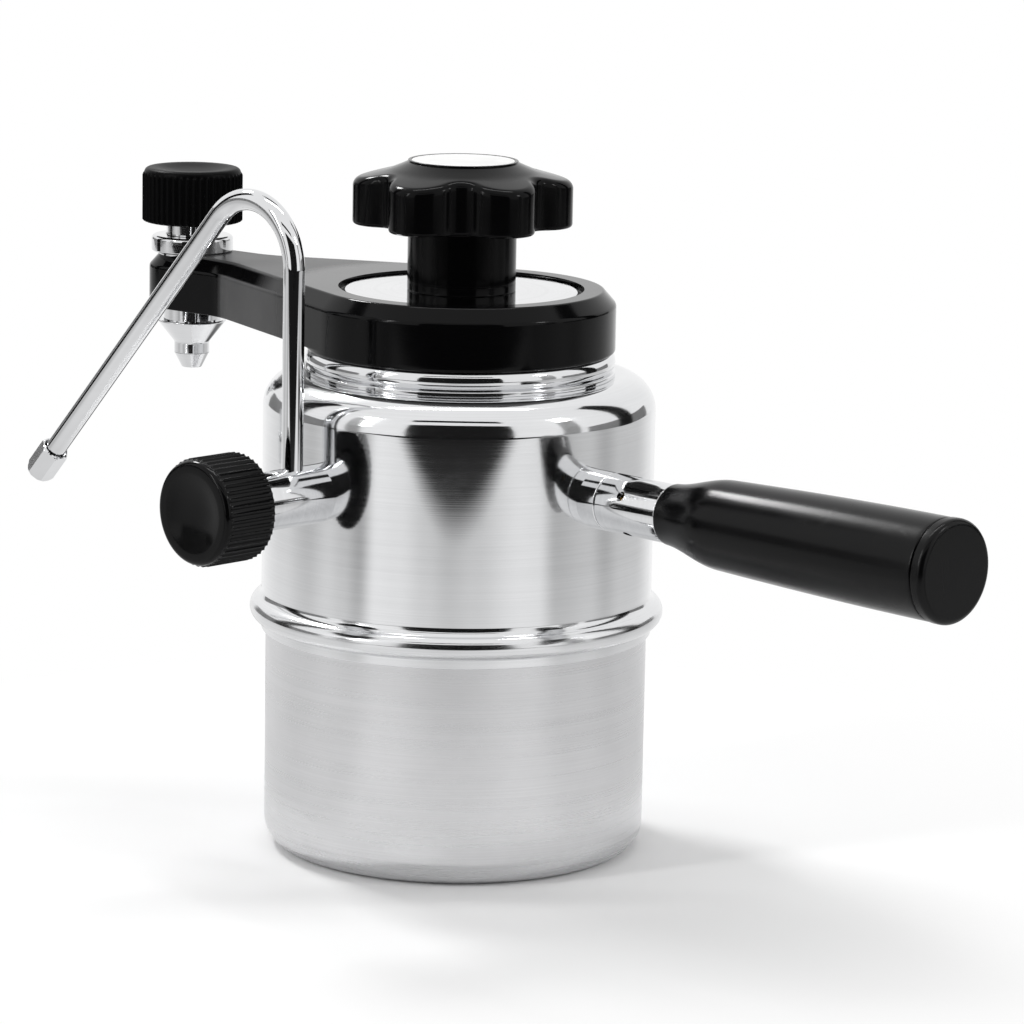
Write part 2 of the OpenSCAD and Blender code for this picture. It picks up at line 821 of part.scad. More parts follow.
// Passages and seats cut in the lid casting
module head_hollows() {
    rod(skirt_r, lid_foot_z, gasket_z);
    rod(chamber_r, gasket_z, gasket_z + chamber_h);
    rod(lid_recess_r, recess_z, lid_z);
    on_brew_axis() {
        rod(valve_shank_r + still_fit, shank_z, lid_z);
        rod(valve_chamber_r, seat_z, shank_z);
        rod(nozzle_shank_r + still_fit, arm_z, seat_z);
        translate([0, 0, passage_z])
            rotate([0, 90, 0])
                cylinder(r = passage_r, h = arm_reach - chamber_r + 2 * passage_r);
    }
}

// Hollow of the hub: the insert's bore and its seal groove
module hub_bore() {
    rod(insert_neck_r + run_fit, hub_z, recess_z);
    rod(
        insert_neck_r + run_fit + 2 * stem_ring_section_r,
        stem_ring_z - stem_ring_section_r,
        stem_ring_z + stem_ring_section_r
    );
}

module brew_head() {
    bend = [arm_bend_reach, arm_head_r];
    tangent_turn = atan2(bend.y, bend.x) + acos(lid_r / norm(bend));
    flare_reach = lid_r * cos(tangent_turn);
    flare_half_w = lid_r * sin(tangent_turn);
    slice_t = lid_r / 1000;
    color(black)
        difference() {
            union() {
                difference() {
                    union() {
                        rotate_extrude()
                            collar_section();
                        rotate([0, 0, arm_turn]) {
                            hull() {
                                arm_slice(flare_reach, flare_half_w, slice_t);
                                arm_slice(arm_bend_reach, arm_head_r, slice_t);
                            }
                            arm_slice(arm_bend_reach, arm_head_r, arm_reach - arm_bend_reach);
                        }
                        on_brew_axis() {
                            rod(arm_head_r, arm_z, bevel_z);
                            translate([0, 0, bevel_z])
                                cylinder(r1 = arm_head_r, r2 = arm_head_r - lid_bevel_in, h = lid_bevel_drop);
                        }
                    }
                    head_hollows();
                }
                rod(hub_r, hub_z, recess_z);
            }
            hub_bore();
        }
}

module top_disc() {
    color(bright)
        difference() {
            round_rod(disc_r, recess_z, disc_z, disc_round_r);
            rod(insert_r + edge_bevel, recess_z, disc_z);
        }
}

module stem_ring() {
    color(rubber)
        difference() {
            round_ring(insert_neck_r + run_fit + stem_ring_section_r, stem_ring_section_r, stem_ring_z);
            rod(insert_neck_r + run_fit, stem_ring_z - stem_ring_section_r, stem_ring_z + stem_ring_section_r);
        }
}

// Plan of the star: points and valleys that meet in tangent arcs
module star_outline() {
    step = 360 / star_points;
    difference() {
        union() {
            polygon([
                for (i = [0:star_points - 1], half = [0, 1])
                    let (
                        turn = (i + half / 2) * step,
                        r = half == 0 ? star_point_middle_r : star_valley_middle_r
                    )
                    [r * cos(turn), r * sin(turn)]
            ]);
            for (i = [0:star_points - 1])
                rotate(i * step)
                    translate([star_point_middle_r, 0])
                        circle(star_point_round_r);
        }
        for (i = [0:star_points - 1])
            rotate((i + 0.5) * step)
                translate([star_valley_middle_r, 0])
                    circle(star_valley_round_r);
    }
}

// Half section of the star: its side, its sloping top and its rim
module star_section() {
    polygon([
        [0, star_z], [star_r, star_z], [star_r, star_edge_z],
        [star_point_middle_r, star_edge_z + star_rise / 2], [knob_rim_r, star_top_z],
        [knob_rim_r, knob_top_z], [0, knob_top_z]
    ]);
}

module star_knob() {
    color(black)
        difference() {
            union() {
                rod(stem_r, disc_z, star_edge_z);
                rotate([0, 0, 45])
                    intersection() {
                        translate([0, 0, star_z])
                            linear_extrude(knob_top_z - star_z)
                                star_outline();
                        rotate_extrude()
                            star_section();
                    }
            }
            rod(knob_rim_r - knob_rim_w, knob_top_z - label_t, knob_top_z);
            rod(insert_r + run_fit, disc_z, insert_top_z);
        }
}

module knob_label() {
    color(paper)
        rod(label_r, knob_top_z - label_t, knob_top_z);
}

module knob_insert() {
    color(brass)
        difference() {
            union() {
                rod(insert_r, disc_z + insert_lift, insert_top_z);
                rod(insert_neck_r, insert_foot_z, disc_z + insert_lift);
            }
            rod(stud_r + run_fit, insert_foot_z, stud_top_z + edge_bevel);
            tube(insert_neck_r, insert_neck_r - clip_groove_h, clip_z, clip_z + clip_t);
        }
}

module insert_clip() {
    color(steel)
        difference() {
            tube(insert_neck_r + clip_reach, insert_neck_r - clip_groove_h, clip_z, clip_z + clip_t);
            translate([0, -clip_reach, clip_z])
                cube([2 * insert_neck_r, 2 * clip_reach, clip_t]);
        }
}

module valve_nut() {
    ring_z = shank_z + valve_shank_h / 2;
    color(bright)
        on_brew_axis()
            difference() {
                union() {
                    round_rod(valve_nut_r, lid_z, nut_top_z, valve_nut_round_r);
                    rod(valve_shank_r, shank_z, lid_z);
                }
                rod(spindle_r + run_fit, shank_z, nut_top_z);
                rod(
                    spindle_r + run_fit + 2 * valve_ring_section_r,
                    ring_z - valve_ring_groove_h / 2,
                    ring_z + valve_ring_groove_h / 2
                );
            }
}

module brew_ring() {
    ring_z = shank_z + valve_shank_h / 2;
    color(rubber)
        on_brew_axis()
            difference() {
                round_ring(spindle_r + run_fit + valve_ring_section_r, valve_ring_section_r, ring_z);
                rod(spindle_r + run_fit, ring_z - valve_ring_section_r, ring_z + valve_ring_section_r);
            }
}

module brew_spindle() {
    color(bright)
        on_brew_axis() {
            translate([0, 0, seat_z])
                cylinder(r1 = seat_hole_r + run_fit, r2 = needle_r, h = needle_cone_h);
            rod(needle_r, seat_z + needle_cone_h, needle_top_z);
            rod(spindle_r, needle_top_z, brew_knob_z);
            rod(spindle_pin_r, brew_knob_z, brew_knob_z + spindle_pin_h);
        }
}

module brew_knob() {
    color(black)
        on_brew_axis()
            translate([0, 0, brew_knob_z])
                difference() {
                    ribbed_knob(brew_knob_r, brew_knob_h);
                    cylinder(r = spindle_pin_r + run_fit, h = spindle_pin_h + run_fit);
                }
}

module brew_nozzle() {
    spigot_z = neck_foot_z + spout_spigot_h;
    color(bright)
        on_brew_axis()
            difference() {
                union() {
                    rod(nozzle_shank_r, cone_z, seat_z);
                    rod(nozzle_collar_r, cone_z, arm_z);
                    translate([0, 0, cone_z - nozzle_cone_h])
                        cylinder(r1 = nozzle_neck_r, r2 = nozzle_cone_r, h = nozzle_cone_h);
                    rod(nozzle_neck_r, neck_foot_z, cone_z - nozzle_cone_h);
                }
                rod(seat_hole_r, spigot_z, seat_z);
                rod(spout_spigot_r + still_fit, neck_foot_z, spigot_z);
            }
}

module nozzle_spout() {
    color(bright)
        on_brew_axis()
            difference() {
                union() {
                    translate([0, 0, neck_foot_z - spout_h])
                        cylinder(r1 = spout_end_r, r2 = nozzle_neck_r, h = spout_h);
                    rod(spout_spigot_r, neck_foot_z, neck_foot_z + spout_spigot_h);
                }
                rod(spout_r, neck_foot_z - spout_h, neck_foot_z + spout_spigot_h);
            }
}

module steam_body() {
    color(bright)
        difference() {
            union() {
                difference() {
                    on_steam_axis()
                        rod(port_r, cup_r - wall_spigot_h, steam_body_reach);
                    rod(shell_r, port_z - 2 * port_r, port_z + 2 * port_r);
                }
                on_steam_axis()
                    rod(wall_hole_r - still_fit, cup_r - wall_spigot_h, steam_seat_reach);
            }
            on_steam_axis() {
                rod(steam_bore_r, cup_r - wall_spigot_h, steam_seat_reach);
                rod(steam_chamber_r, steam_seat_reach, gland_reach);
                rod(gland_r + still_fit, gland_reach, steam_body_reach);
            }
            translate([0, -wand_reach, 0]) {
                rod(wand_r - wand_wall_t, port_z, port_z + port_r);
                rod(wand_r + still_fit, port_z + steam_chamber_r + edge_bevel, port_z + port_r);
            }
        }
}

module steam_spindle() {
    color(steel)
        on_steam_axis() {
            translate([0, 0, steam_seat_reach])
                cylinder(r1 = steam_bore_r + run_fit, r2 = steam_stem_r, h = needle_cone_h);
            rod(
                steam_stem_r, steam_seat_reach + needle_cone_h,
                steam_body_reach - steam_knob_cover_h + steam_knob_h - small_dish_h * 2
            );
        }
}

module steam_gland() {
    color(steel)
        on_steam_axis()
            difference() {
                rod(gland_r, gland_reach, steam_body_reach);
                rod(steam_stem_r + run_fit, gland_reach, steam_body_reach);
                rod(
                    steam_stem_r + run_fit + 2 * valve_ring_section_r,
                    gland_reach, gland_reach + valve_ring_groove_h
                );
            }
}

module steam_ring() {
    ring_middle_r = steam_stem_r + run_fit + valve_ring_section_r;
    color(rubber)
        on_steam_axis()
            difference() {
                round_ring(ring_middle_r, valve_ring_section_r, gland_reach + valve_ring_groove_h / 2);
                rod(steam_stem_r + run_fit, gland_reach, gland_reach + valve_ring_groove_h);
            }
}

module steam_knob() {
    color(black)
        on_steam_axis()
            translate([0, 0, steam_body_reach - steam_knob_cover_h])
                difference() {
                    ribbed_knob(steam_knob_r, steam_knob_h);
                    cylinder(r = port_r + steam_knob_gap, h = steam_knob_cover_h + edge_bevel);
                    cylinder(r = steam_stem_r + run_fit, h = steam_knob_h - small_dish_h * 2);
                }
}

module wand_tube() {
    bore_r = wand_r - wand_wall_t;
    foot_z = port_z + steam_chamber_r + edge_bevel;
    color(bright)
        translate([0, -wand_reach, 0]) {
            tube(wand_r, bore_r, foot_z, wand_bend_z);
            translate([-wand_bend_r, 0, wand_bend_z])
                rotate([90, 0, 0]) {
                    rotate_extrude(angle = wand_turn)
                        translate([wand_bend_r, 0])
                            difference() {
                                circle(wand_r, $fn = 36);
                                circle(bore_r, $fn = 36);
                            }
                }
            on_wand_leg()
                tube(wand_r + wand_lap, bore_r - wand_lap, -wand_lap_h, wand_leg_h);
        }
}

// Places a part on the slanting leg, its own z running down from the bend
module on_wand_leg() {
    translate([-wand_bend_r, 0, wand_bend_z])
        rotate([0, -wand_turn, 0])
            translate([wand_bend_r, 0, 0])
                children();
}

module wand_nozzle() {
    nozzle_r = wand_nozzle_af / 2 / cos(30);
    color(bright)
        translate([0, -wand_reach, 0])
            on_wand_leg()
                translate([0, 0, wand_leg_h - wand_socket_h])
                    difference() {
                        cylinder(r = nozzle_r, h = wand_nozzle_h, $fn = 6);
                        cylinder(r = wand_r + still_fit, h = wand_socket_h);
                        cylinder(r = wand_jet_r, h = wand_nozzle_h);
                    }
}

module handle_boss() {
    color(bright)
        difference() {
            union() {
                difference() {
                    on_handle_axis()
                        rod(port_r, cup_r - wall_spigot_h, ferrule_reach);
                    rod(shell_r, port_z - 2 * port_r, port_z + 2 * port_r);
                }
                on_handle_axis() {
                    rod(wall_hole_r - still_fit, cup_r - wall_spigot_h, ferrule_reach);
                    rod(housing_bore_r - still_fit, ferrule_reach, boss_end);
                }
            }
            on_handle_axis()
                rod(steam_bore_r, cup_r - wall_spigot_h, boss_end);
        }
}

module safety_seat() {
    color(brass)
        on_handle_axis()
            tube(housing_bore_r - still_fit, safety_hole_r, boss_end, seat_end);
}

module safety_housing() {
    color(bright)
        on_handle_axis()
            difference() {
                rod(port_r, ferrule_reach, grip_reach);
                rod(housing_bore_r, ferrule_reach, grip_reach);
                rotate([0, 0, vent_turn])
                    for (turn = [0, 90])
                        rotate([0, 90, turn])
                            translate([-vent_reach, 0, -port_r])
                                cylinder(r = vent_r, h = 2 * port_r);
                tube(port_r, port_r - edge_bevel, ferrule_reach, ferrule_reach + edge_bevel);
            }
}

module safety_poppet() {
    color(brass)
        on_handle_axis() {
            rod(poppet_r, seat_end, spring_start);
            rod(poppet_pin_r, spring_start, spring_end + poppet_pin_h);
            rod(safety_hole_r - poppet_nose_gap, seat_end - seat_t / 2, spring_start);
        }
}

// One ring of points round the spring's wire, at a share of the spring's length
function wire_ring(s, sides) =
    let (
        turn = s * spring_turns * 360,
        z = spring_wire_r + (spring_h - 2 * spring_wire_r) * s
    )
    [
        for (i = [0:sides - 1])
            let (
                a = i * 360 / sides,
                r = spring_r + spring_wire_r * cos(a)
            )
            [r * cos(turn), r * sin(turn), z + spring_wire_r * sin(a)]
    ];

module safety_spring() {
    sides = 8;
    rings = spring_turns * 16;
    points = [for (k = [0:rings]) each wire_ring(k / rings, sides)];
    walls = [
        for (k = [0:rings - 1], i = [0:sides - 1])
            let (j = (i + 1) % sides)
            [k * sides + i, k * sides + j, (k + 1) * sides + j, (k + 1) * sides + i]
    ];
    first_end = [for (i = [0:sides - 1]) sides - 1 - i];
    last_end = [for (i = [0:sides - 1]) rings * sides + i];
    color(steel)
        on_handle_axis()
            translate([0, 0, spring_start])
                polyhedron(points, concat(walls, [first_end, last_end]));
}

module spring_plug() {
    color(brass)
        on_handle_axis()
            difference() {
                rod(housing_bore_r - still_fit, spring_end, grip_reach);
                rod(bolt_r + still_fit, grip_reach - bolt_thread_h, grip_reach);
                rod(poppet_pin_r + run_fit, spring_end, spring_end + poppet_pin_h + safety_lift + run_fit);
            }
}

// Ease from 0 to 1
function ease(u) = u * u * (3 - 2 * u);

// Radius of the grip at a share of its length
function grip_radius_share(s) =
    let (root_share = 0.21)
    grip_root_r + (grip_mid_r - grip_root_r) * ease(min(1, s / root_share))
        + (grip_end_r - grip_mid_r) * sin(90 * s);

module handle_grip() {
    steps = 28;
    color(black)
        on_handle_axis()
            difference() {
                rotate_extrude()
                    polygon([
                        [0, grip_reach],
                        for (k = [0:steps])
                            [grip_radius_share(k / steps), grip_reach + grip_h * k / steps],
                        [0, grip_end]
                    ]);
                rod(bolt_r + 2 * still_fit, grip_reach, counterbore_start);
                rod(counterbore_r, counterbore_start, grip_end);
            }
}

module handle_bolt() {
    head_start = counterbore_start + washer_t;
    color(steel)
        on_handle_axis()
            difference() {
                union() {
                    rod(bolt_r, grip_reach - bolt_thread_h, head_start);
                    rod(bolt_head_r, head_start, head_start + bolt_head_h);
                }
                translate([0, 0, head_start + bolt_head_h / 2])
                    cylinder(r = bolt_r, h = bolt_head_h / 2, $fn = 6);
            }
}

module bolt_washer() {
    color(steel)
        on_handle_axis()
            tube(bolt_head_r + edge_bevel, bolt_r + still_fit, counterbore_start, counterbore_start + washer_t);
}

module handle_cap() {
    cap_r = grip_end_r + cap_step;
    color(black)
        on_handle_axis() {
            round_rod(cap_r, handle_end - cap_t, handle_end, cap_round_r);
            rod(cap_r - cap_groove_h, grip_end, handle_end - cap_t / 2);
            rod(counterbore_r - still_fit, grip_end - cap_spigot_h, handle_end - cap_t / 2);
        }
}

boiler_cup();
boiler_shell();
neck_ring();
bridge_bar();
centre_stud();
stud_nut();
coffee_basket();
basket_screen();
intake_tube();
head_gasket();
centre_seal();
group_screen();
brew_head();
top_disc();
stem_ring();
star_knob();
knob_insert();
insert_clip();
knob_label();
valve_nut();
brew_spindle();
brew_ring();
brew_knob();
brew_nozzle();
nozzle_spout();
steam_body();
steam_spindle();
steam_gland();
steam_ring();
steam_knob();
wand_tube();
wand_nozzle();
handle_boss();
safety_seat();
safety_housing();
safety_poppet();
safety_spring();
spring_plug();
handle_grip();
handle_bolt();
bolt_washer();
handle_cap();
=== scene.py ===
"""Stovetop espresso maker: finer forms, finishes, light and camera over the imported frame."""

import json
import math

import bmesh
import bpy
from mathutils import Matrix, Vector


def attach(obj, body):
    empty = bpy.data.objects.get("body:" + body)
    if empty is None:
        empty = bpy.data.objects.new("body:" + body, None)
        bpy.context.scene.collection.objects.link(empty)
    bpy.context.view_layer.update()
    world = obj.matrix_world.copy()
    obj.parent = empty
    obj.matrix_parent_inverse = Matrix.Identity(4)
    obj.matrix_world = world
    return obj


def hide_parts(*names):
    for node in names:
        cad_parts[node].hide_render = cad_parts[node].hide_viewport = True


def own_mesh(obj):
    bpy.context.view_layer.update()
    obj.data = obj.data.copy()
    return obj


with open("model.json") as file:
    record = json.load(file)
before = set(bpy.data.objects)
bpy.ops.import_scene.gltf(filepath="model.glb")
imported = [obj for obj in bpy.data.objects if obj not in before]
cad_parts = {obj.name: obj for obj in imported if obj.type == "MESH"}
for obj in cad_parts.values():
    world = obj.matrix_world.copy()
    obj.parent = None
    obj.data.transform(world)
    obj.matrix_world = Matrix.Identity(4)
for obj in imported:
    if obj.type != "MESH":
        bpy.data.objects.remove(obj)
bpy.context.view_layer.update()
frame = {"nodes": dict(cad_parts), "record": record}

MM = 0.001
TAU = 2 * math.pi
ON_AXIS = 1e-6
scene = bpy.context.scene

# Places of the object's axes, in millimetres and degrees like every form below
SIDE_AXIS_Z = 99.5
VALVE_X = 94.5
ARM_TURN = 6.5
WAND_Y = -58.6
WAND_R = 2.75
BEND_R = 16.3
BEND_Z = 157.2
BEND_TURN = 136.7
LEG_END = 99.5

UP = Matrix.Identity(4)
HANDLE = Matrix.Translation((0, 0, SIDE_AXIS_Z)) @ Matrix.Rotation(TAU / 4, 4, "Y")
STEAM = Matrix.Translation((0, 0, SIDE_AXIS_Z)) @ Matrix.Rotation(TAU / 4, 4, "X")
ARM = Matrix.Rotation(math.radians(ARM_TURN), 4, "Z")
BREW = ARM @ Matrix.Translation((-VALVE_X, 0, 0))
BEND = Matrix.Translation((-BEND_R, WAND_Y, BEND_Z))
LEG = (BEND @ Matrix.Rotation(math.radians(-BEND_TURN), 4, "Y")
       @ Matrix.Translation((BEND_R, 0, 0)))

# Depths of the fine relief in the materials, in metres
HAIR_DEPTH = 0.00003
LINE_DEPTH = 0.00005
GRAIN_DEPTH = 0.00006
SWELL_DEPTH = 0.0002


# Materials

class Nodes:
    """A node tree, with short helpers for the nodes that it is built from."""

    def __init__(self, tree):
        self.tree = tree
        tree.nodes.clear()

    def node(self, kind, **facts):
        made = self.tree.nodes.new(kind)
        for key, value in facts.items():
            setattr(made, key, value)
        return made

    def link(self, source, socket):
        self.tree.links.new(source, socket)

    def put(self, socket, value):
        """Feeds a socket from an output, a number, or a colour of three numbers."""
        if hasattr(value, "is_output"):
            self.link(value, socket)
        elif socket.type == "RGBA":
            socket.default_value = (*value, 1)
        else:
            socket.default_value = value

    def math(self, operation, *values):
        made = self.node("ShaderNodeMath", operation=operation)
        for socket, value in zip(made.inputs, values):
            self.put(socket, value)
        return made.outputs[0]

    def plus(self, a, b):
        return self.math("ADD", a, b)

    def minus(self, a, b):
        return self.math("SUBTRACT", a, b)

    def times(self, a, b):
        return self.math("MULTIPLY", a, b)

    def vector(self, operation, source, other=None):
        """The outputs of a vector operation; other is a fixed vector."""
        made = self.node("ShaderNodeVectorMath", operation=operation)
        self.link(source, made.inputs[0])
        if other is not None:
            made.inputs[1].default_value = other
        return made.outputs

    def parts(self, source):
        """The x, y and z of a vector."""
        made = self.node("ShaderNodeSeparateXYZ")
        self.link(source, made.inputs[0])
        return made.outputs

    def position(self):
        return self.node("ShaderNodeTexCoord").outputs["Object"]

    def reach(self):
        """Distance from the object's origin, in metres."""
        return self.vector("LENGTH", self.position())["Value"]

    def stretched(self, x, y, z):
        """Coordinates scaled along each axis, so that a pattern is drawn out."""
        made = self.node("ShaderNodeMapping")
        made.inputs["Scale"].default_value = (x, y, z)
        self.link(self.position(), made.inputs["Vector"])
        return made.outputs[0]

    def turned(self, axis, centre):
        """Coordinates along the radius and along the axis, so that a pattern forms rings."""
        x, y, z = self.parts(self.vector("SUBTRACT", self.position(), centre)[0])
        a, b, along = {"X": (y, z, x), "Y": (x, z, y), "Z": (x, y, z)}[axis]
        made = self.node("ShaderNodeCombineXYZ")
        radius = self.math("SQRT", self.plus(self.times(a, a), self.times(b, b)))
        drift = self.times(self.plus(a, b), 0.005)
        for socket, value in zip(made.inputs, (radius, along, drift)):
            self.link(value, socket)
        return made.outputs[0]

    def noise(self, vector, scale, detail=2.0, roughness=0.5, distortion=0.0):
        made = self.node("ShaderNodeTexNoise")
        self.link(vector, made.inputs["Vector"])
        made.inputs["Scale"].default_value = scale
        made.inputs["Detail"].default_value = detail
        made.inputs["Roughness"].default_value = roughness
        made.inputs["Distortion"].default_value = distortion
        return made.outputs["Fac"]

    def spread(self, value, low, high, to_low, to_high):
        """Takes the span from low to high to a new span, and stays in it."""
        made = self.node("ShaderNodeMapRange", clamp=True)
        self.link(value, made.inputs["Value"])
        spans = {"From Min": low, "From Max": high, "To Min": to_low, "To Max": to_high}
        for key, number in spans.items():
            made.inputs[key].default_value = number
        return made.outputs["Result"]

    def colour(self, share, first, second):
        """A mix of two colours, each given as numbers or as an output."""
        made = self.node("ShaderNodeMix", data_type="RGBA")
        self.link(share, made.inputs["Factor"])
        self.put(made.inputs[6], first)
        self.put(made.inputs[7], second)
        return made.outputs[2]

    def bump(self, height, strength, distance, under=None):
        """Fine relief from a height, over another relief if one is given."""
        made = self.node("ShaderNodeBump")
        made.inputs["Strength"].default_value = strength
        made.inputs["Distance"].default_value = distance
        self.link(height, made.inputs["Height"])
        if under is not None:
            self.link(under, made.inputs["Normal"])
        return made.outputs[0]

    def seen(self):
        """One for rays from the camera, a mirror or a clear body, nought for diffuse light."""
        rays = self.node("ShaderNodeLightPath").outputs
        either = self.math("MAXIMUM", rays["Is Camera Ray"], rays["Is Glossy Ray"])
        return self.math("MAXIMUM", either, rays["Is Transmission Ray"])

    def glow(self, strength):
        """White light of a strength, which nothing else lights."""
        made = self.node("ShaderNodeEmission")
        self.put(made.inputs["Strength"], strength)
        return made.outputs[0]

    def mixed(self, share, first, second):
        """A mix of two surfaces or of two lights."""
        made = self.node("ShaderNodeMixShader")
        for socket, source in zip(made.inputs, (share, first, second)):
            self.link(source, socket)
        return made.outputs[0]


class Shader(Nodes):
    """A material with one plain surface."""

    def __init__(self, name):
        self.material = bpy.data.materials.new(name)
        self.material.use_nodes = True
        super().__init__(self.material.node_tree)
        self.out = self.node("ShaderNodeOutputMaterial")
        self.surface = self.node("ShaderNodeBsdfPrincipled")
        self.finish(self.surface.outputs[0])

    def set(self, socket, value):
        self.put(self.surface.inputs[socket], value)

    def finish(self, source):
        """Takes another surface in place of the plain one."""
        self.link(source, self.out.inputs[0])


def tinted(rgb, factor):
    """A colour made lighter or darker."""
    return tuple(min(1.0, c * factor) for c in rgb)


def metal(name, rgb, rough, axis=None, centre=(0, 0, 0), lines=900, line_bump=0.05,
          smudge=0.06, anisotropy=0.0, tone=0.05, scratch=0.02, dull=None):
    """A bare metal with turning or polishing lines, faint smudges and hair scratches.

    Below the place dull (low, high, extra roughness) along the axis the polish is softer.
    """
    s = Shader(name)
    place = s.turned(axis, centre) if axis else s.stretched(1, 1, 4)
    blotch = s.noise(s.position(), 28, 4, 0.55)
    fine = s.noise(place, lines, 3, 0.6)
    broad = s.noise(place, lines / 7, 2, 0.5)
    hair = s.noise(s.stretched(1, 1.6, 0.12), 1400, 2, 0.6, 1.5)
    mark = s.spread(s.noise(s.position(), 75, 5, 0.65), 0.56, 0.72, 0, 1)

    line = s.plus(s.times(fine, 0.6), s.times(broad, 0.4))
    shade = s.plus(s.times(blotch, 0.45), s.times(line, 0.55))
    shade = s.spread(shade, 0.36, 0.64, 0, 1)
    gloss = s.plus(s.spread(line, 0.3, 0.7, *rough), s.times(mark, smudge))
    if dull:
        low, high, extra = dull
        gloss = s.plus(gloss, s.spread(s.parts(place)[1], low, high, extra, 0))

    s.set("Base Color", s.colour(shade, tinted(rgb, 1 - tone), tinted(rgb, 1 + tone)))
    s.set("Metallic", 1.0)
    s.set("Roughness", gloss)
    s.set("Normal", s.bump(fine, line_bump, LINE_DEPTH, s.bump(hair, scratch, HAIR_DEPTH)))
    if anisotropy:
        tangent = s.node("ShaderNodeTangent", direction_type="RADIAL", axis=axis or "Z")
        s.set("Anisotropic", anisotropy)
        s.set("Tangent", tangent.outputs[0])
    return s.material


def moulding(name, rgb, rough, grain, grain_bump, scuff, sheen=0.5, satin=None):
    """A moulded or cast surface: fine grain, a faint cloudiness and a few paler rubbed marks.

    The ring satin (first and last radius round the upright axis, heights of the chamfer,
    colour, roughness) is left unpolished and rougher, and its colour is a painted sheen:
    a paler grey in place of reflected light. The painted sheen reaches farther out on top
    of the chamfer, a painted lighter top, and fades out on the chamfer itself, where the
    black stays as painted shade.
    """
    s = Shader(name)
    cloud = s.noise(s.position(), 35, 4, 0.6)
    pits = s.noise(s.position(), grain, 2, 0.5)
    swell = s.noise(s.position(), 160, 3, 0.5)
    rub = s.spread(s.noise(s.stretched(1, 1.3, 0.7), 120, 6, 0.7, 0.6), 0.6, 0.75, 0, 1)

    tone = s.plus(s.spread(cloud, 0.3, 0.7, 0, 0.6), s.times(rub, 0.4))
    body = s.colour(tone, tinted(rgb, 0.85), tinted(rgb, 1.35))
    gloss = s.plus(s.spread(cloud, 0.3, 0.7, *rough), s.times(rub, scuff))
    # The satin ring's colour is painted sheen: a paler grey standing in for reflected light on the
    # arm
    if satin:
        first, last, foot, head, matt, dull = satin
        radius, height, _ = s.parts(s.turned("Z", (0, 0, 0)))
        above_foot = s.spread(height, foot - 0.0002, foot + 0.0002, 0, 1)
        above_head = s.spread(height, head - 0.0002, head + 0.0002, 0, 1)
        # On top the painted sheen reaches 12 mm farther out: a painted lighter top
        radius_for_painted_top = s.minus(radius, s.times(above_head, 0.012))
        ring = s.times(s.spread(radius, first - 0.002, first + 0.006, 0, 1),
                       s.spread(radius_for_painted_top, last - 0.001, last + 0.001, 1, 0))
        # The chamfer keeps the black: painted shade
        chamfer = s.times(s.minus(above_foot, above_head),
                          s.spread(radius, first + 0.003, first + 0.014, 0, 1))
        ring = s.times(ring, s.minus(1.0, chamfer))
        # The painted sheen grey of the ring
        skin = s.colour(tone, tinted(matt, 0.8), tinted(matt, 1.3))
        body = s.colour(ring, body, skin)
        gloss = s.plus(gloss, s.times(ring, dull))

    s.set("Base Color", body)
    s.set("Roughness", gloss)
    s.set("Specular IOR Level", sheen)
    s.set("Normal", s.bump(pits, grain_bump, GRAIN_DEPTH, s.bump(swell, 0.05, SWELL_DEPTH)))
    return s.material


def seal(name, rgb, rough):
    """Soft seal material with a dry, faintly uneven skin."""
    s = Shader(name)
    cloud = s.spread(s.noise(s.position(), 90, 5, 0.6), 0.3, 0.7, 0, 1)
    skin = s.noise(s.position(), 1800, 3, 0.6)
    s.set("Base Color", s.colour(cloud, tinted(rgb, 0.88), tinted(rgb, 1.08)))
    s.set("Roughness", s.spread(skin, 0.3, 0.7, rough - 0.06, rough + 0.08))
    s.set("Normal", s.bump(skin, 0.15, GRAIN_DEPTH))
    return s.material


CHROME = (0.745, 0.75, 0.76)
BLACK = (0.0018, 0.0018, 0.0020)
DEEP_BLACK = (0.0016, 0.0016, 0.0018)
# Paler grey painted on the lid arm's satin ring: painted sheen
PAINTED_SHEEN_GREY = (0.075, 0.075, 0.076)
SIDE_CENTRE = (0, 0, SIDE_AXIS_Z * MM)
VALVE_CENTRE = (BREW @ Vector((0, 0, 0))) * MM

cup_steel = metal("satin steel", (0.70, 0.70, 0.71), (0.24, 0.34), "Z", lines=2600,
                  line_bump=0.02, smudge=0.03, anisotropy=0.6, tone=0.09, scratch=0.004)
shell_steel = metal("mirror steel", (0.75, 0.755, 0.765), (0.05, 0.09), "Z", lines=2600,
                    line_bump=0.025, smudge=0.03, anisotropy=0.9, tone=0.06, scratch=0.008,
                    dull=(0.0630, 0.0680, 0.07))
neck_chrome = metal("neck chrome", CHROME, (0.05, 0.10), "Z", lines=1500, line_bump=0.02,
                    smudge=0.04)
disc_chrome = metal("spun disc", CHROME, (0.05, 0.11), "Z", lines=1600, line_bump=0.04,
                    smudge=0.04, anisotropy=0.5, tone=0.08)
brew_chrome = metal("valve chrome", CHROME, (0.035, 0.08), "Z", VALVE_CENTRE, lines=1800,
                    line_bump=0.02)
handle_chrome = metal("handle chrome", CHROME, (0.04, 0.09), "X", SIDE_CENTRE, lines=1800,
                      line_bump=0.02)
steam_chrome = metal("steam chrome", CHROME, (0.04, 0.09), "Y", SIDE_CENTRE, lines=1800,
                     line_bump=0.02)
wand_chrome = metal("wand chrome", CHROME, (0.02, 0.05), None, lines=90, line_bump=0.01,
                    smudge=0.02, scratch=0.0)
plain_steel = metal("plain steel", (0.56, 0.56, 0.57), (0.28, 0.42), "Z", lines=1400,
                    line_bump=0.12)
brass = metal("turned brass", (0.66, 0.48, 0.22), (0.2, 0.34), "Z", lines=1600, line_bump=0.1)

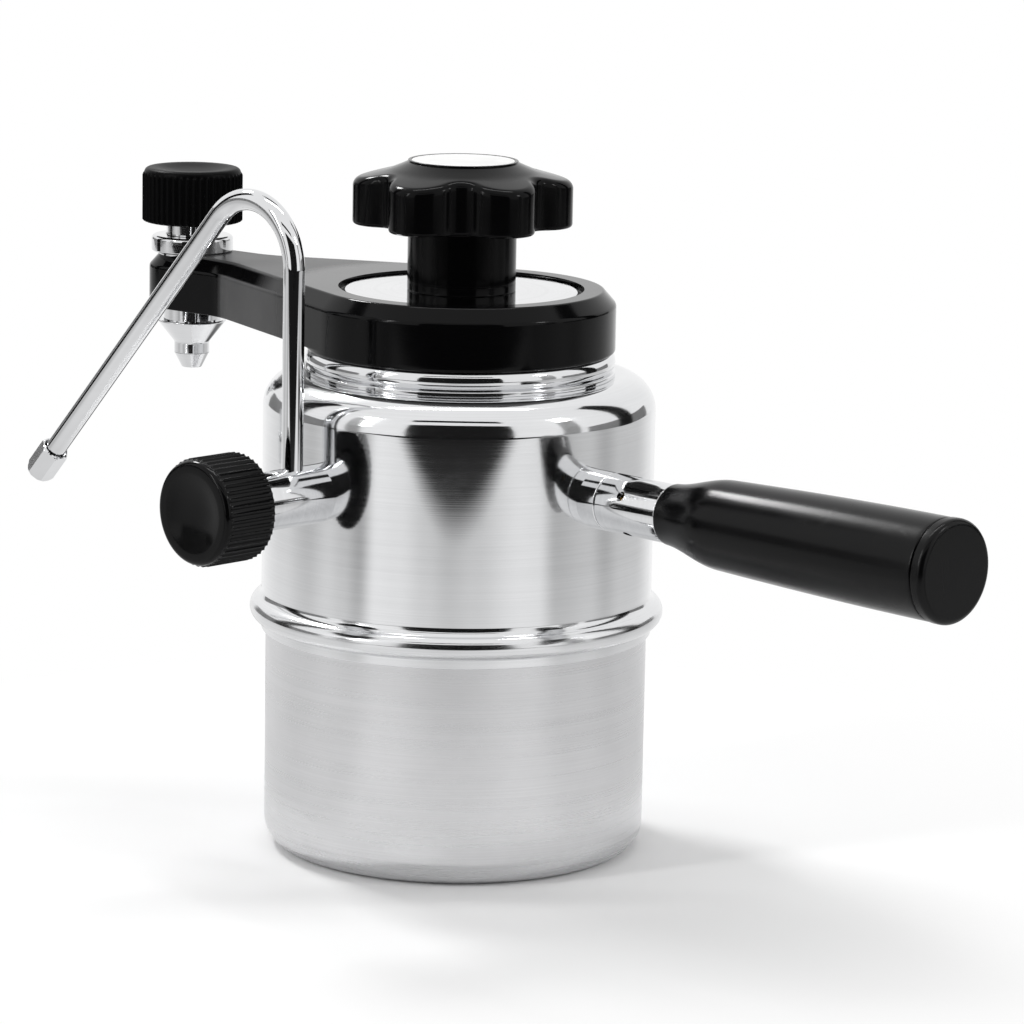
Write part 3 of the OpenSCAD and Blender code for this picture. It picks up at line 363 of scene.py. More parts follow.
cast_black = moulding("cast black", BLACK, (0.08, 0.14), 2200, 0.04, 0.04, sheen=0.13,
                      satin=(0.044, 0.0745, 0.1446, 0.1474, PAINTED_SHEEN_GREY, 0.22))
star_black = moulding("star black", BLACK, (0.10, 0.17), 2800, 0.04, 0.04, sheen=0.10)
knob_black = moulding("knob black", DEEP_BLACK, (0.10, 0.17), 2600, 0.04, 0.06, sheen=0.15)
grip_black = moulding("grip black", BLACK, (0.15, 0.23), 1500, 0.06, 0.12, sheen=0.17)
matt_black = moulding("matt black", DEEP_BLACK, (0.34, 0.44), 3200, 0.10, 0.04, sheen=0.05)
label_white = moulding("label white", (0.86, 0.86, 0.85), (0.38, 0.48), 1500, 0.05, 0.05)
rubber_black = seal("black rubber", (0.030, 0.030, 0.030), 0.7)
silicone = seal("pale silicone", (0.68, 0.66, 0.61), 0.5)

BY_SLOT = {
    "satin_steel": cup_steel, "bright_steel": shell_steel, "chrome_fittings": brew_chrome,
    "plain_steel": plain_steel, "black_casting": cast_black, "black_plastic": star_black,
    "brass": brass, "seal_rubber": rubber_black, "seal_silicone": silicone,
    "label": label_white,
}


# Forms: levels of points that faces join, and finer pieces made from them.
# Edges stay sharp from so many degrees on; points nearer than so many metres are one.
SHARP = 32
WELD = 2e-7


def rounded(corners, closed=False, steps=6):
    """Profile points through corners (radius, height) or (radius, height, round)."""
    points, count = [], len(corners)
    for i, corner in enumerate(corners):
        here = Vector(corner[:2])
        size = corner[2] if len(corner) > 2 else 0
        inner = closed or 0 < i < count - 1
        if not size or not inner:
            points.append(tuple(here))
            continue
        to_last = Vector(corners[i - 1][:2]) - here
        to_next = Vector(corners[(i + 1) % count][:2]) - here
        a, b = to_last.normalized(), to_next.normalized()
        half = a.angle(b) / 2
        reach = min(size / math.tan(half), 0.49 * to_last.length, 0.49 * to_next.length)
        size = reach * math.tan(half)
        middle = here + (a + b).normalized() * size / math.sin(half)
        first, last = here + a * reach - middle, here + b * reach - middle
        turn = first.angle_signed(last)
        for k in range(steps + 1):
            t = -turn * k / steps
            points.append((middle.x + first.x * math.cos(t) - first.y * math.sin(t),
                           middle.y + first.x * math.sin(t) + first.y * math.cos(t)))
    return points


def arc(x, y, r, start, end, steps):
    """Points of an arc, its angles in degrees."""
    turns = [math.radians(start + (end - start) * k / steps) for k in range(steps + 1)]
    return [(x + r * math.cos(t), y + r * math.sin(t)) for t in turns]


def polar(r, t, z):
    """A point at a distance from the z axis, a turn and a height."""
    return (r * math.cos(t), r * math.sin(t), z)


def circle(r, z, count):
    """A level ring of points round the z axis."""
    return [polar(r, TAU * k / count, z) for k in range(count)]


def joined(rows, closed):
    """Faces between rows of equally many point numbers, each row running round."""
    pairs = list(zip(rows, rows[1:]))
    if closed:
        pairs.append((rows[-1], rows[0]))
    faces = []
    for a, b in pairs:
        for i in range(len(a)):
            j = (i + 1) % len(a)
            face = list(dict.fromkeys((a[i], a[j], b[j], b[i])))
            if len(face) > 2:
                faces.append(face)
    return faces


def ringed(levels, closed=False):
    """Points and faces of levels, each a list of points or a single point on the axis."""
    count = max(len(level) for level in levels)
    points, rows = [], []
    for level in levels:
        if len(level) == 1:
            rows.append([len(points)] * count)
        else:
            rows.append(list(range(len(points), len(points) + count)))
        points += level
    return points, joined(rows, closed)


def capped(first, levels, last):
    """A solid through levels, closed by a point at each end."""
    return ringed([[first], *levels, [last]])


def added(form, more):
    """Two forms as one, and the number of the second form's first point."""
    points, faces = form
    base = len(points)
    more_points, more_faces = more
    faces = faces + [[n + base for n in face] for face in more_faces]
    return (points + more_points, faces), base


def lathe(profile, steps=128):
    """A profile turned round the z axis; it is a closed ring unless it begins on the axis."""
    levels = [[(0, 0, z)] if r < ON_AXIS else circle(r, z, steps) for r, z in profile]
    return ringed(levels, profile[0][0] > ON_AXIS)


def piece(name, form, place, body, material, nodes=(), sharp=SHARP):
    """Makes a finer piece from points and faces, and hands it to the frame."""
    mesh = bpy.data.meshes.new(name)
    points, faces = form
    mesh.from_pydata([(place @ Vector(p)) * MM for p in points], [], faces)
    work = bmesh.new()
    work.from_mesh(mesh)
    bmesh.ops.remove_doubles(work, verts=work.verts, dist=WELD)
    bmesh.ops.recalc_face_normals(work, faces=work.faces)
    work.to_mesh(mesh)
    work.free()
    mesh.shade_smooth()
    mesh.set_sharp_from_angle(angle=math.radians(sharp))
    mesh.materials.append(material)
    made = bpy.data.objects.new(name, mesh)
    scene.collection.objects.link(made)
    even = made.modifiers.new("even_normals", "WEIGHTED_NORMAL")
    even.keep_sharp = True
    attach(made, body)
    if nodes:
        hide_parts(*nodes)
    return made


def turned_piece(name, corners, place, body, material, nodes=(), steps=96, round_steps=6):
    """A lathe piece from rounded corners."""
    profile = rounded(corners, corners[0][0] > ON_AXIS, round_steps)
    return piece(name, lathe(profile, steps), place, body, material, nodes)


# Boiler: a pressed cup, and a polished shell rolled over its rim
turned_piece("cup", [
    (0, 0), (50, 0, 7), (50, 62.8, 0.5), (52.3, 63.4, 0.3), (52.3, 64.4), (49, 64.4), (49, 1.6, 6),
    (0, 1.6)
], UP, "boiler", cup_steel, ["boiler_cup"], 192, 12)

SHELL_R, SHELL_INNER_R = 51.13, 50.13
SHOULDER = (42.13, 116.7)
BEAD_TURN = 61.35
shell_profile = (
    rounded([(50.6, 57.8), (SHELL_R, 57.8, 0.35), (SHELL_R, 60.0)])
    + arc(50.9, 63.4, 3.285, -86, BEAD_TURN, 26)
    + arc(53.73, 68.58, 2.6, 180 + BEAD_TURN, 180, 12)
    + [(SHELL_R, z) for z in (74, 82, 90, 99, 108)]
    + arc(*SHOULDER, 9, 0, 90, 22)
    + [(36.1, 125.7), (36.1, 124.7)]
    + arc(*SHOULDER, 8, 90, 0, 12)
    + [(SHELL_INNER_R, 64.45), (SHELL_INNER_R, 57.8)]
)
piece("shell", lathe(shell_profile, 256), UP, "boiler", shell_steel,
      ["boiler_shell"], 50)

neck_profile = (
    rounded([(34.6, 123.7), (36, 123.7), (36, 125.7), (40.4, 125.7, 0.15), (40.4, 126.9, 0.3),
             (39.5, 126.9)])
    + arc(37.3, 129.35, 3.1, -50, 50, 16)
    + rounded([(39.2, 131.8), (37.6, 131.8), (37.6, 133.8, 0.3), (34.6, 133.8, 0.4), (34.6, 132)])
)
piece("neck", lathe(neck_profile, 192), UP, "boiler", neck_chrome,
      ["neck_ring"])


# Lid casting: its plan, inset by d, swept through a profile of insets and heights
COLLAR_R = 40.3
ARM_HEAD_R = 11.6
ARM_NECK_X = 74
ARM_BLEND_R = 22.0


def lid_plan(d):
    """Outline of the collar and the arm, the arm along +x here."""
    turn = (math.atan2(ARM_HEAD_R, ARM_NECK_X)
            + math.acos(COLLAR_R / math.hypot(ARM_NECK_X, ARM_HEAD_R)))
    across = COLLAR_R + ARM_BLEND_R - (ARM_HEAD_R + ARM_BLEND_R) * math.sin(turn)
    middle = (across / math.cos(turn), ARM_HEAD_R + ARM_BLEND_R)
    degrees = math.degrees(turn)
    back = arc(0, 0, COLLAR_R - d, degrees, 360 - degrees, 120)
    bend = arc(*middle, ARM_BLEND_R + d, 180 + degrees, 270, 8)
    head = arc(VALVE_X, 0, ARM_HEAD_R - d, -90, 90, 40)
    first, last = Vector(back[0]), Vector(bend[0])
    side = [tuple(first.lerp(last, k / 10)) for k in range(1, 10)]
    edge = Vector((VALVE_X, ARM_HEAD_R - d))
    flat = [tuple(Vector(bend[-1]).lerp(edge, k / 4)) for k in range(1, 4)]
    upper = side + bend + flat
    lower = [(x, -y) for x, y in upper]
    return back + lower + head + upper[::-1]


def filled(points, faces, outer, inner):
    """Fills the flat space between two loops of point numbers."""
    work = bmesh.new()
    corners = {n: work.verts.new(points[n]) for n in (*outer, *inner)}
    edges = []
    for loop in (outer, inner):
        for a, b in zip(loop, loop[1:] + loop[:1]):
            edges.append(work.edges.new((corners[a], corners[b])))
    back = {v: n for n, v in corners.items()}
    made = bmesh.ops.triangle_fill(work, edges=edges, use_beauty=True)
    for item in made["geom"]:
        if isinstance(item, bmesh.types.BMFace):
            faces.append([back[v] for v in item.verts])
    work.free()


def lid_form():
    """The casting's skin, its turned hollow, and the foot of the collar."""
    ring = 144
    skin = rounded([(-0.6, 133.0), (0, 133.0, 0.5), (0, 144.2, 1.6), (-3.3, 147.9, 0.9),
                    (-4.3, 147.9)])
    hollow = rounded([
        (38.2, 133.0), (38.2, 137), (33, 137), (33, 139.2, 0.8), (11.3, 139.2, 0.6),
        (11.3, 135.4), (8.05, 135.4), (8.05, 146.0), (31.95, 146.0, 0.3), (31.95, 147.9)
    ])
    foot = rounded([(38.2, 131.8), (40.3, 131.8, 0.8), (40.3, 133.5), (38.2, 133.5)], True)

    levels = [[(-x, -y, z) for x, y in lid_plan(-inset)] for inset, z in skin]
    count = len(levels[0])
    form, base = added(ringed(levels), ringed([circle(r, z, ring) for r, z in hollow]))
    points, faces = form
    top = base + ring * (len(hollow) - 1)
    filled(points, faces, list(range(count)), list(range(base, base + ring)))
    filled(points, faces, list(range(base - count, base)), list(range(top, top + ring)))
    return added(form, lathe(foot, 192))[0]


piece("lid", lid_form(), ARM, "lid", cast_black, ["brew_head"])

turned_piece("disc", [
    (9.2, 146.0), (30.4, 146.0), (30.4, 147.2, 0.45), (9.2, 147.2, 0.15)
], UP, "lid", disc_chrome, ["top_disc"], 192)


# Star knob: a turned stem, and a star whose edges are rounded all round
LOBES = 6
LOBE_X, LOBE_R = 19.5, 9
VALLEY_X, VALLEY_R = 26.9, 5
LOBE_END = 74.24
STAR_EDGE = 1.9
LABEL_R = 14.3
CROWN = ((LABEL_R, 180.5), (16.2, 179.62), (19.5, 178.25), (24, 177.12), (28.5, 176.0),
         (40, 173.1))


def star_plan(d):
    """Outline of the star inset by d, its first point along +x."""
    plan = []
    for i in range(LOBES):
        step = Matrix.Rotation(TAU * i / LOBES, 2)
        lobe = arc(LOBE_X, 0, LOBE_R - d, -LOBE_END, LOBE_END, 26)
        half = TAU / LOBES / 2
        valley = arc(VALLEY_X * math.cos(half), VALLEY_X * math.sin(half), VALLEY_R + d,
                     180 + LOBE_END, 240 - LOBE_END, 16)
        plan += [tuple(step @ Vector(p)) for p in lobe[:-1] + valley[:-1]]
    return plan


def crown(r):
    """Height of the star's top at a distance from its axis."""
    for (a, za), (b, zb) in zip(CROWN, CROWN[1:]):
        if r <= b:
            t = max(0.0, (r - a) / (b - a))
            return za + (zb - za) * t
    return CROWN[-1][1]


def star_form():
    """Levels up the stem, out under the star, round its edges and in over its crown."""
    turns = [math.atan2(y, x) for x, y in star_plan(0)]
    stem = rounded([
        (8.85, 162.6), (8.85, 147.2), (14.1, 147.2, 0.35), (14.1, 149.35, 0.1), (13.95, 149.45),
        (13.95, 149.6), (14.1, 149.7, 0.1), (14.1, 164.0, 1.2), (16.5, 164.0)
    ])
    rim = rounded([
        (LABEL_R, 180.6), (LABEL_R, 181.0, 0.25), (13.4, 181.0, 0.15), (13.4, 180.2), (13.0, 180.2)
    ])

    def round_levels(profile):
        return [[polar(r, t, z) for t in turns] for r, z in profile]

    levels = round_levels(stem)
    levels.append([(x, y, 164.0) for x, y in star_plan(2.4)])
    for k in range(5):
        t = math.radians(22.5 * k)
        levels.append([(x, y, 165.0 - math.cos(t)) for x, y in star_plan(1.0 - math.sin(t))])
    for k in range(9):
        t = math.radians(90 * k / 8)
        inset, drop = STAR_EDGE * (1 - math.cos(t)), STAR_EDGE * (1 - math.sin(t))
        levels.append([(x, y, crown(math.hypot(x, y)) - drop) for x, y in star_plan(inset)])
    edge = star_plan(STAR_EDGE)
    for k in range(1, 9):
        row = []
        for x, y in edge:
            r = math.hypot(x, y)
            r += (LABEL_R - r) * k / 8
            row.append(polar(r, math.atan2(y, x), crown(r)))
        levels.append(row)
    levels += round_levels(rim)
    return capped((0, 0, 162.6), levels, (0, 0, 180.2))


STAR = Matrix.Rotation(TAU / 8, 4, "Z")
piece("star", star_form(), STAR, "top_knob", star_black, ["star_knob"], 40)
turned_piece("label_disc", [
    (0, 180.2), (13.36, 180.2), (13.36, 180.93, 0.2), (12.0, 180.97, 1), (0, 180.9)
], UP, "top_knob", label_white, ["knob_label"], 128)


# Ribbed knobs
RIBS, POINTS_A_RIB = 48, 8
RIB_HEIGHT = 0.5
DISH_DEPTH = 1.2
KNOB_ROUND = 1.4


def ribbed_form(r, h, hollow):
    """A knob with a ribbed side, a rounded edge and a dished end, over a turned hollow."""
    count = RIBS * POINTS_A_RIB
    ridge = [(2 * abs((k % POINTS_A_RIB) / POINTS_A_RIB - 0.5)) ** 2.4 for k in range(count)]
    dish_r = r * 0.72
    sphere = (dish_r ** 2 + DISH_DEPTH ** 2) / (2 * DISH_DEPTH)
    side = r - RIB_HEIGHT
    dish = [dish_r * k / 9 for k in range(8, 0, -1)]

    # Radius, height and share of the ribs' height
    profile = [(q, z, 0) for q, z in hollow]
    profile += [(r - 1.0, 0, 0), (r - 0.65, 0.15, 0.4), (side, 0.5, 1), (side, h / 2, 1)]
    profile += [(side, h - 2.1, 1), (side, h - 1.7, 0.7), (side, h - 1.4, 0.25)]
    profile += [(q, z, 0) for q, z in arc(r - 1.9, h - KNOB_ROUND, KNOB_ROUND, 12, 90, 7)]
    profile += [(dish_r + 0.35, h, 0), (dish_r, h - 0.06, 0)]
    profile += [(q, h - DISH_DEPTH + sphere - math.sqrt(sphere ** 2 - q * q), 0) for q in dish]

    levels = [
        [polar(q + RIB_HEIGHT * share * ridge[k], TAU * k / count, z) for k in range(count)]
        for q, z, share in profile
    ]
    return capped((0, 0, hollow[0][1]), levels, (0, 0, h - DISH_DEPTH))


piece("brew_handle", ribbed_form(13.58, 14.7, [(4.05, 10.05), (4.05, 0)]),
      BREW @ Matrix.Translation((0, 0, 155.9)), "brew_handwheel", matt_black,
      ["brew_knob"])
piece("steam_handle", ribbed_form(13.7, 16, [(2.65, 13.6), (2.65, 2.4), (8.1, 2.4), (8.1, 0)]),
      STEAM @ Matrix.Translation((0, 0, 76)), "steam_handwheel", knob_black,
      ["steam_knob"])

# Brew valve
turned_piece("nut", [
    (7.05, 141.0), (9, 141.0), (9, 147.9), (10.7, 147.9), (11.05, 148.25, 0.3),
    (11.05, 152.3, 1.0), (7.6, 152.3, 0.3), (7.05, 151.8)
], BREW, "lid", brew_chrome, ["valve_nut"])
turned_piece("spindle", [
    (0, 137), (2.05, 137), (3, 139), (3, 142.5), (7, 142.5, 0.3), (7, 155.9), (4, 155.9),
    (4, 165.9, 0.4), (0, 165.9)
], BREW, "brew_needle", brew_chrome, ["brew_spindle"])
turned_piece("nozzle", [
    (2, 125), (3.24, 125), (3.24, 120), (4.77, 120, 0.2), (4.77, 123, 1.0), (9.66, 129.2, 0.35),
    (7.8, 129.2), (7.8, 133), (6, 133), (6, 137), (2, 137)
], BREW, "lid", brew_chrome, ["brew_nozzle"])
turned_piece("spout", [
    (1.4, 116), (2.7, 116, 0.3), (4.77, 120), (3.2, 120), (3.2, 125), (1.4, 125)
], BREW, "lid", brew_chrome, ["nozzle_spout"])

# Steam valve
turned_piece("steam_tube", [
    (2, 47.8), (3.96, 47.8), (3.96, 50.5), (7.5, 50.5), (7.5, 78, 0.4), (5.64, 78), (5.64, 63),
    (3.4, 63), (3.4, 54.5), (2, 54.5)
], STEAM, "boiler", steam_chrome, ["steam_body"])


# Wand: up from the steam valve, over the bend, and down its leg to a hexagonal nozzle
TIP_FLATS = 7
TIP_SIDES = 96
UNCUT = 99


def wand_path():
    """Points along the wand's centre, each with the direction there."""
    path = [(Vector((0, WAND_Y, z)), Vector((0, 0, 1))) for z in (103.3, 120, 140, BEND_Z)]
    for k in range(1, 41):
        t = math.radians(BEND_TURN * k / 40)
        here = Vector((-BEND_R + BEND_R * math.cos(t), WAND_Y, BEND_Z + BEND_R * math.sin(t)))
        path.append((here, Vector((-math.sin(t), 0, math.cos(t)))))
    end, along = path[-1]
    return path + [(end + along * s, along) for s in (30, 60, LEG_END)]


def swept(path, r, sides=40):
    """A round rod along a path of (point, direction), with flat ends."""
    levels = []
    across = Vector((0, 1, 0))
    for here, along in path:
        side = along.cross(across).normalized()
        turns = [TAU * k / sides for k in range(sides)]
        levels.append([
            tuple(here + r * (math.cos(t) * across + math.sin(t) * side)) for t in turns
        ])
    return capped(tuple(path[0][0]), levels, tuple(path[-1][0]))


def hex_level(z, limit):
    """A level of the nozzle's hexagon, its corners cut to the radius limit."""
    level = []
    for k in range(TIP_SIDES):
        t = TAU * k / TIP_SIDES
        flat = math.cos((t + TAU / 12) % (TAU / 6) - TAU / 12)
        level.append(polar(min(limit, TIP_FLATS / 2 / flat), t, z))
    return level


def tip_form():
    """The nozzle: a collar round the leg's end, the hexagon, and the mouth."""
    collar = [(2.8, 97.0), (3.02, 97.0), (3.02, 95.5), (3.25, 95.5)]
    hexagon = [(95.7, 3.6), (96.0, 3.85), (96.3, UNCUT), (100, UNCUT), (104.6, UNCUT),
               (105.1, 3.85), (105.45, 3.6)]
    mouth = [(3.2, 105.7), (1.1, 105.7), (0.8, 105.4), (0.8, 101)]
    levels = [circle(r, z, TIP_SIDES) for r, z in collar]
    levels += [hex_level(z, limit) for z, limit in hexagon]
    levels += [circle(r, z, TIP_SIDES) for r, z in mouth]
    return capped((0, 0, 97.0), levels, (0, 0, 101))


piece("wand", swept(wand_path(), WAND_R), UP, "boiler", wand_chrome,
      ["wand_tube"])
piece("wand_tip", tip_form(), LEG, "boiler", wand_chrome, ["wand_nozzle"], 24)

# Handle and safety valve
turned_piece("boss", [
    (2, 47.8), (3.96, 47.8), (3.96, 50.5), (7.5, 50.5), (7.5, 56.4, 0.3), (5.96, 56.4),
    (5.96, 61), (2, 61)
], HANDLE, "boiler", handle_chrome, ["handle_boss"])
housing = turned_piece("housing", [
    (6, 56.4), (7.1, 56.4), (7.1, 56.8), (7.5, 56.8, 0.15), (7.5, 77.3, 0.25), (6, 77.3)
], HANDLE, "boiler", handle_chrome, ["safety_housing"])

VENT_X = 65
VENT_TURNS = (61, 151)
VENT_R = 1.25
VENT_REACH = 20
GRIP_FOOT = 77.3
GRIP_LENGTH = 87.7


def drilled(target, places, r, reach):
    """Cuts round holes through a piece at right angles to the handle."""
    for place in places:
        bpy.ops.mesh.primitive_cylinder_add(vertices=40, radius=r * MM, depth=reach * MM)
        tool = bpy.context.object
        tool.matrix_world = place
        cut = target.modifiers.new("vent", "BOOLEAN")
        cut.operation, cut.object, cut.solver = "DIFFERENCE", tool, "EXACT"
        with bpy.context.temp_override(object=target, active_object=target,
                                       selected_objects=[target]):
            bpy.ops.object.modifier_move_to_index(modifier="vent", index=0)
            bpy.ops.object.modifier_apply(modifier="vent")
        bpy.data.objects.remove(tool)


drilled(housing, [
    Matrix.Translation((VENT_X * MM, 0, SIDE_AXIS_Z * MM))
    @ Matrix.Rotation(math.radians(turn), 4, "X")
    for turn in VENT_TURNS
], VENT_R, VENT_REACH)
housing.data.set_sharp_from_angle(angle=math.radians(SHARP))


def grip_radius(share):
    """The grip's radius at a share of its length: a quick rise, then a slow swelling."""
    ease = min(1.0, share / 0.21)
    return 7.8 + 2.9 * ease * ease * (3 - 2 * ease) + 2.05 * math.sin(TAU / 4 * share)


grip_profile = [(2.58, GRIP_FOOT), (7.45, GRIP_FOOT), (7.7, 77.42), (7.81, 77.7)]
grip_profile += [(grip_radius(k / 60), GRIP_FOOT + GRIP_LENGTH * k / 60) for k in range(1, 60)]
grip_profile += [(12.74, 164.5), (12.68, 164.8), (12.45, 165), (5.5, 165), (5.5, 154),
                 (2.58, 154)]
piece("grip", lathe(grip_profile), HANDLE, "boiler", grip_black,
      ["handle_grip"])
turned_piece("grip_cap", [
    (0, 160.5), (5.46, 160.5), (5.46, 165), (11.9, 165), (11.9, 165.5), (12.9, 165.5, 0.25),
    (12.9, 169, 2.2), (0, 169)
], HANDLE, "boiler", grip_black, ["handle_cap"], 128)


# Safety spring: a close helix of round wire, with mesh data of its own. The real spring flattens
# as the valve lifts, which this script doesn't draw.
def coil_form(r, wire, start, length, turns, rows=160, sides=12):
    """A helix of round wire along the z axis."""
    levels = []
    for k in range(rows + 1):
        t = TAU * turns * k / rows
        z = start + wire + (length - 2 * wire) * k / rows
        slices = [TAU * i / sides for i in range(sides)]
        levels.append([polar(r + wire * math.cos(a), t, z + wire * math.sin(a)) for a in slices])
    first, last = [
        tuple(sum((Vector(p) for p in level), Vector()) / sides)
        for level in (levels[0], levels[-1])
    ]
    return capped(first, levels, last)


spring = piece("spring", coil_form(2.9, 0.4, 64.2, 6.4, 4), HANDLE, "boiler",
               plain_steel, ["safety_spring"])
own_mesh(spring)


# Centre stud with its thread
STUD_R = 4.95
STUD_PITCH = 2.0
THREAD_DEPTH = 0.75
THREAD_FOOT, THREAD_END = 120.2, 156.9
THREAD_LENGTH = 36.4


def thread_form():
    """The stud: a flanged foot, a plain shank, and a thread that fades out at both ends."""
    sides, rows = 48, 220
    foot = [(4, 78.6), (4, 88), (6.5, 88), (6.5, 90), (STUD_R, 90.01), (STUD_R, 120)]
    levels = [circle(r, z, sides) for r, z in foot]
    for k in range(rows + 1):
        z = THREAD_FOOT + THREAD_LENGTH * k / rows
        fade = max(0, min(1, (z - THREAD_FOOT) / 2, (THREAD_END - z) / 0.6))
        row = []
        for i in range(sides):
            phase = (z / STUD_PITCH - i / sides) % 1
            r = STUD_R - THREAD_DEPTH * fade * (1 - abs(2 * phase - 1))
            row.append(polar(r, TAU * i / sides, z))
        levels.append(row)
    levels += [circle(4.9, 157, sides), circle(4, 158, sides)]
    return capped((0, 0, 78.6), levels, (0, 0, 158))


piece("stud", thread_form(), UP, "boiler", plain_steel, ["centre_stud"], 60)

# Pieces inside keep the frame's own meshes
for name, node in frame["nodes"].items():
    if node.hide_render or not node.material_slots:
        continue
    wanted = next(p["material_slot"] for p in frame["record"]["subparts"] if p["node"] == name)
    for place in node.material_slots:
        place.link = "OBJECT"
        place.material = BY_SLOT[wanted]


# Light and camera
TOWARD = Vector((math.sin(TAU / 8), -math.cos(TAU / 8), 0))
RIGHT = Vector((math.cos(TAU / 8), math.sin(TAU / 8), 0))
FLOOR_HALF = 6000
CARD_Z = 2
FLAG_CENTRE_Z = 120


def spot(across, near, z):
    """A point given across the picture, toward the camera and up."""
    return tuple(RIGHT * across + TOWARD * near + Vector((0, 0, z)))


def card(name, corners, material, shown=False):
    """A flat card through corners in millimetres; unless shown, only reflections hold it."""
    mesh = bpy.data.meshes.new(name)
    mesh.from_pydata([Vector(c) * MM for c in corners], [], [list(range(len(corners)))])
    made = bpy.data.objects.new(name, mesh)
    mesh.materials.append(material)
    scene.collection.objects.link(made)
    if not shown:
        made.visible_camera = False
        made.visible_diffuse = False
        made.visible_shadow = False


def backdrop_material(name, rgb, near, far):
    """A pale floor that keeps the shadow near the object and turns plain white farther off."""
    s = Shader(name)
    s.set("Base Color", rgb)
    s.set("Roughness", 0.9)
    s.set("Specular IOR Level", 0.0)
    s.set("Normal", s.bump(s.noise(s.position(), 300, 3), 0.02, SWELL_DEPTH))
    share = s.times(s.spread(s.reach(), near, far, 0, 1), s.seen())
    s.finish(s.mixed(share, s.surface.outputs[0], s.glow(1.0)))
    return s.material


card("floor", [
    (-FLOOR_HALF, -FLOOR_HALF, 0), (FLOOR_HALF, -FLOOR_HALF, 0),
    (FLOOR_HALF, FLOOR_HALF, 0), (-FLOOR_HALF, FLOOR_HALF, 0)
], backdrop_material("pale floor", (0.95, 0.95, 0.95), 0.09, 0.22), True)


def dark_material(name, tone):
    """A matt grey for the cards that stand round the object."""
    s = Shader(name)
    s.set("Base Color", (tone, tone, tone))
    s.set("Roughness", 1.0)
    s.set("Specular IOR Level", 0.0)
    return s.material


# Azimuth in degrees, from the camera's side toward the right, and the grey that the painted
# reflection of the floor shows there
TONES = (
    (-150, 0.97), (-116, 0.80), (-92, 0.60), (-76, 0.78), (-65, 0.66), (-55, 0.46), (-45, 1.0),
    (-32, 0.94), (-16, 0.74), (-4, 0.62), (10, 0.72), (36, 0.97), (46, 0.94), (57, 0.54),
    (80, 0.66), (92, 0.50), (106, 0.66), (122, 0.68), (150, 0.95)
)


def floor_shade(name):
    """Painted reflections of the floor: greys that polished sides see, by azimuth, and dark far
    off in front.
    """
    s = Shader(name)
    across, near = [
        s.vector("DOT_PRODUCT", s.position(), way)["Value"] for way in (RIGHT, TOWARD)
    ]
    turn = s.math("ARCTAN2", across, near)
    reach = s.reach()

    ramp = s.node("ShaderNodeValToRGB")
    ramp.color_ramp.interpolation = "EASE"
    stops = ramp.color_ramp.elements
    while len(stops) < len(TONES):
        stops.new(0.5)
    for stop, (degrees, tone) in zip(stops, TONES):
        stop.position = degrees / 360 + 0.5
        stop.color = (tone, tone, tone, 1)
    s.link(s.plus(s.math("DIVIDE", turn, TAU), 0.5), ramp.inputs[0])

    strong = s.spread(reach, 0.10, 0.46, 0.25, 1)
    side = s.plus(1.0, s.times(s.minus(ramp.outputs[0], 1.0), strong))
    side = s.times(side, s.spread(reach, 0.13, 0.28, 0.92, 1))
    edge = s.plus(0.525, s.times(s.times(turn, turn), 0.624))
    front = s.spread(s.minus(reach, edge), -0.045, 0.035, 0, 1)
    gloom = s.minus(s.spread(reach, 0.56, 0.72, 0.040, 0.012), side)
    s.finish(s.glow(s.plus(side, s.times(gloom, front))))
    return s.material


def back_shade(name):
    """A soft dark patch behind the object, which the wand's lower edge mirrors."""
    s = Shader(name)
    reach = s.reach()
    across = s.vector("DOT_PRODUCT", s.position(), RIGHT)["Value"]
    off = s.math("ABSOLUTE", s.plus(across, 0.02))
    depth = s.times(s.spread(reach, 0.13, 0.17, 0, 1), s.spread(reach, 0.24, 0.40, 1, 0))
    patch = s.times(depth, s.spread(off, 0.03, 0.10, 1, 0))
    s.finish(s.glow(s.minus(1.0, s.times(patch, 0.93))))
    return s.material


def floor_card(name, start, end, steps, near, far, material):
    """A part of a flat ring just over the floor, from one azimuth to another."""
    turns = [math.radians(start + (end - start) * k / steps) for k in range(steps + 1)]
    outer = [spot(math.sin(a) * far, math.cos(a) * far, CARD_Z) for a in turns]
    inner = [spot(math.sin(a) * near, math.cos(a) * near, CARD_Z) for a in reversed(turns)]
    card(name, outer + inner, material)


dark = dark_material("dark card", 0.012)
deep = dark_material("deep grey card", 0.34)
wall = dark_material("wall card", 0.26)
floor_card("floor_shade", 150, -150, 60, 85, 1500, floor_shade("floor shade"))
floor_card("back_shade", 150, 210, 12, 125, 420, back_shade("back shade"))


def flag(name, azimuth, half_width, low, high, reach, material):
    """A card that stands round the object, at an azimuth like those of the tones."""
    corners = []
    left, right = -half_width, half_width
    for turn, rise in ((left, low), (right, low), (right, high), (left, high)):
        a, e = math.radians(azimuth + turn), math.radians(rise)
        corners.append(spot(math.sin(a) * math.cos(e) * reach, math.cos(a) * math.cos(e) * reach,
                            FLAG_CENTRE_Z + math.sin(e) * reach))
    card(name, corners, material)


# Name, azimuth, half width, lowest and highest angle in degrees, distance and material
FLAGS = (
    ("front_wall", 1, 31, -6, 31, 1250, dark),
    ("left_flag", -108, 7, -6, 48, 900, dark),
    ("right_flag", 112, 7, -6, 48, 900, dark),
    ("left_near_flag", -62, 5, -5, 34, 1000, deep),
    ("right_near_flag", 68, 6, -5, 30, 1000, deep),
    ("brow_flag", -1, 30, 40, 46, 1300, dark),
    ("left_wall", -112, 34, -12, 9, 1400, wall),
    ("right_wall", 110, 30, -12, 7, 1400, wall),
    ("back_flag", 176, 30, 62, 72, 1400, dark),
)
for facts in FLAGS:
    flag(*facts)

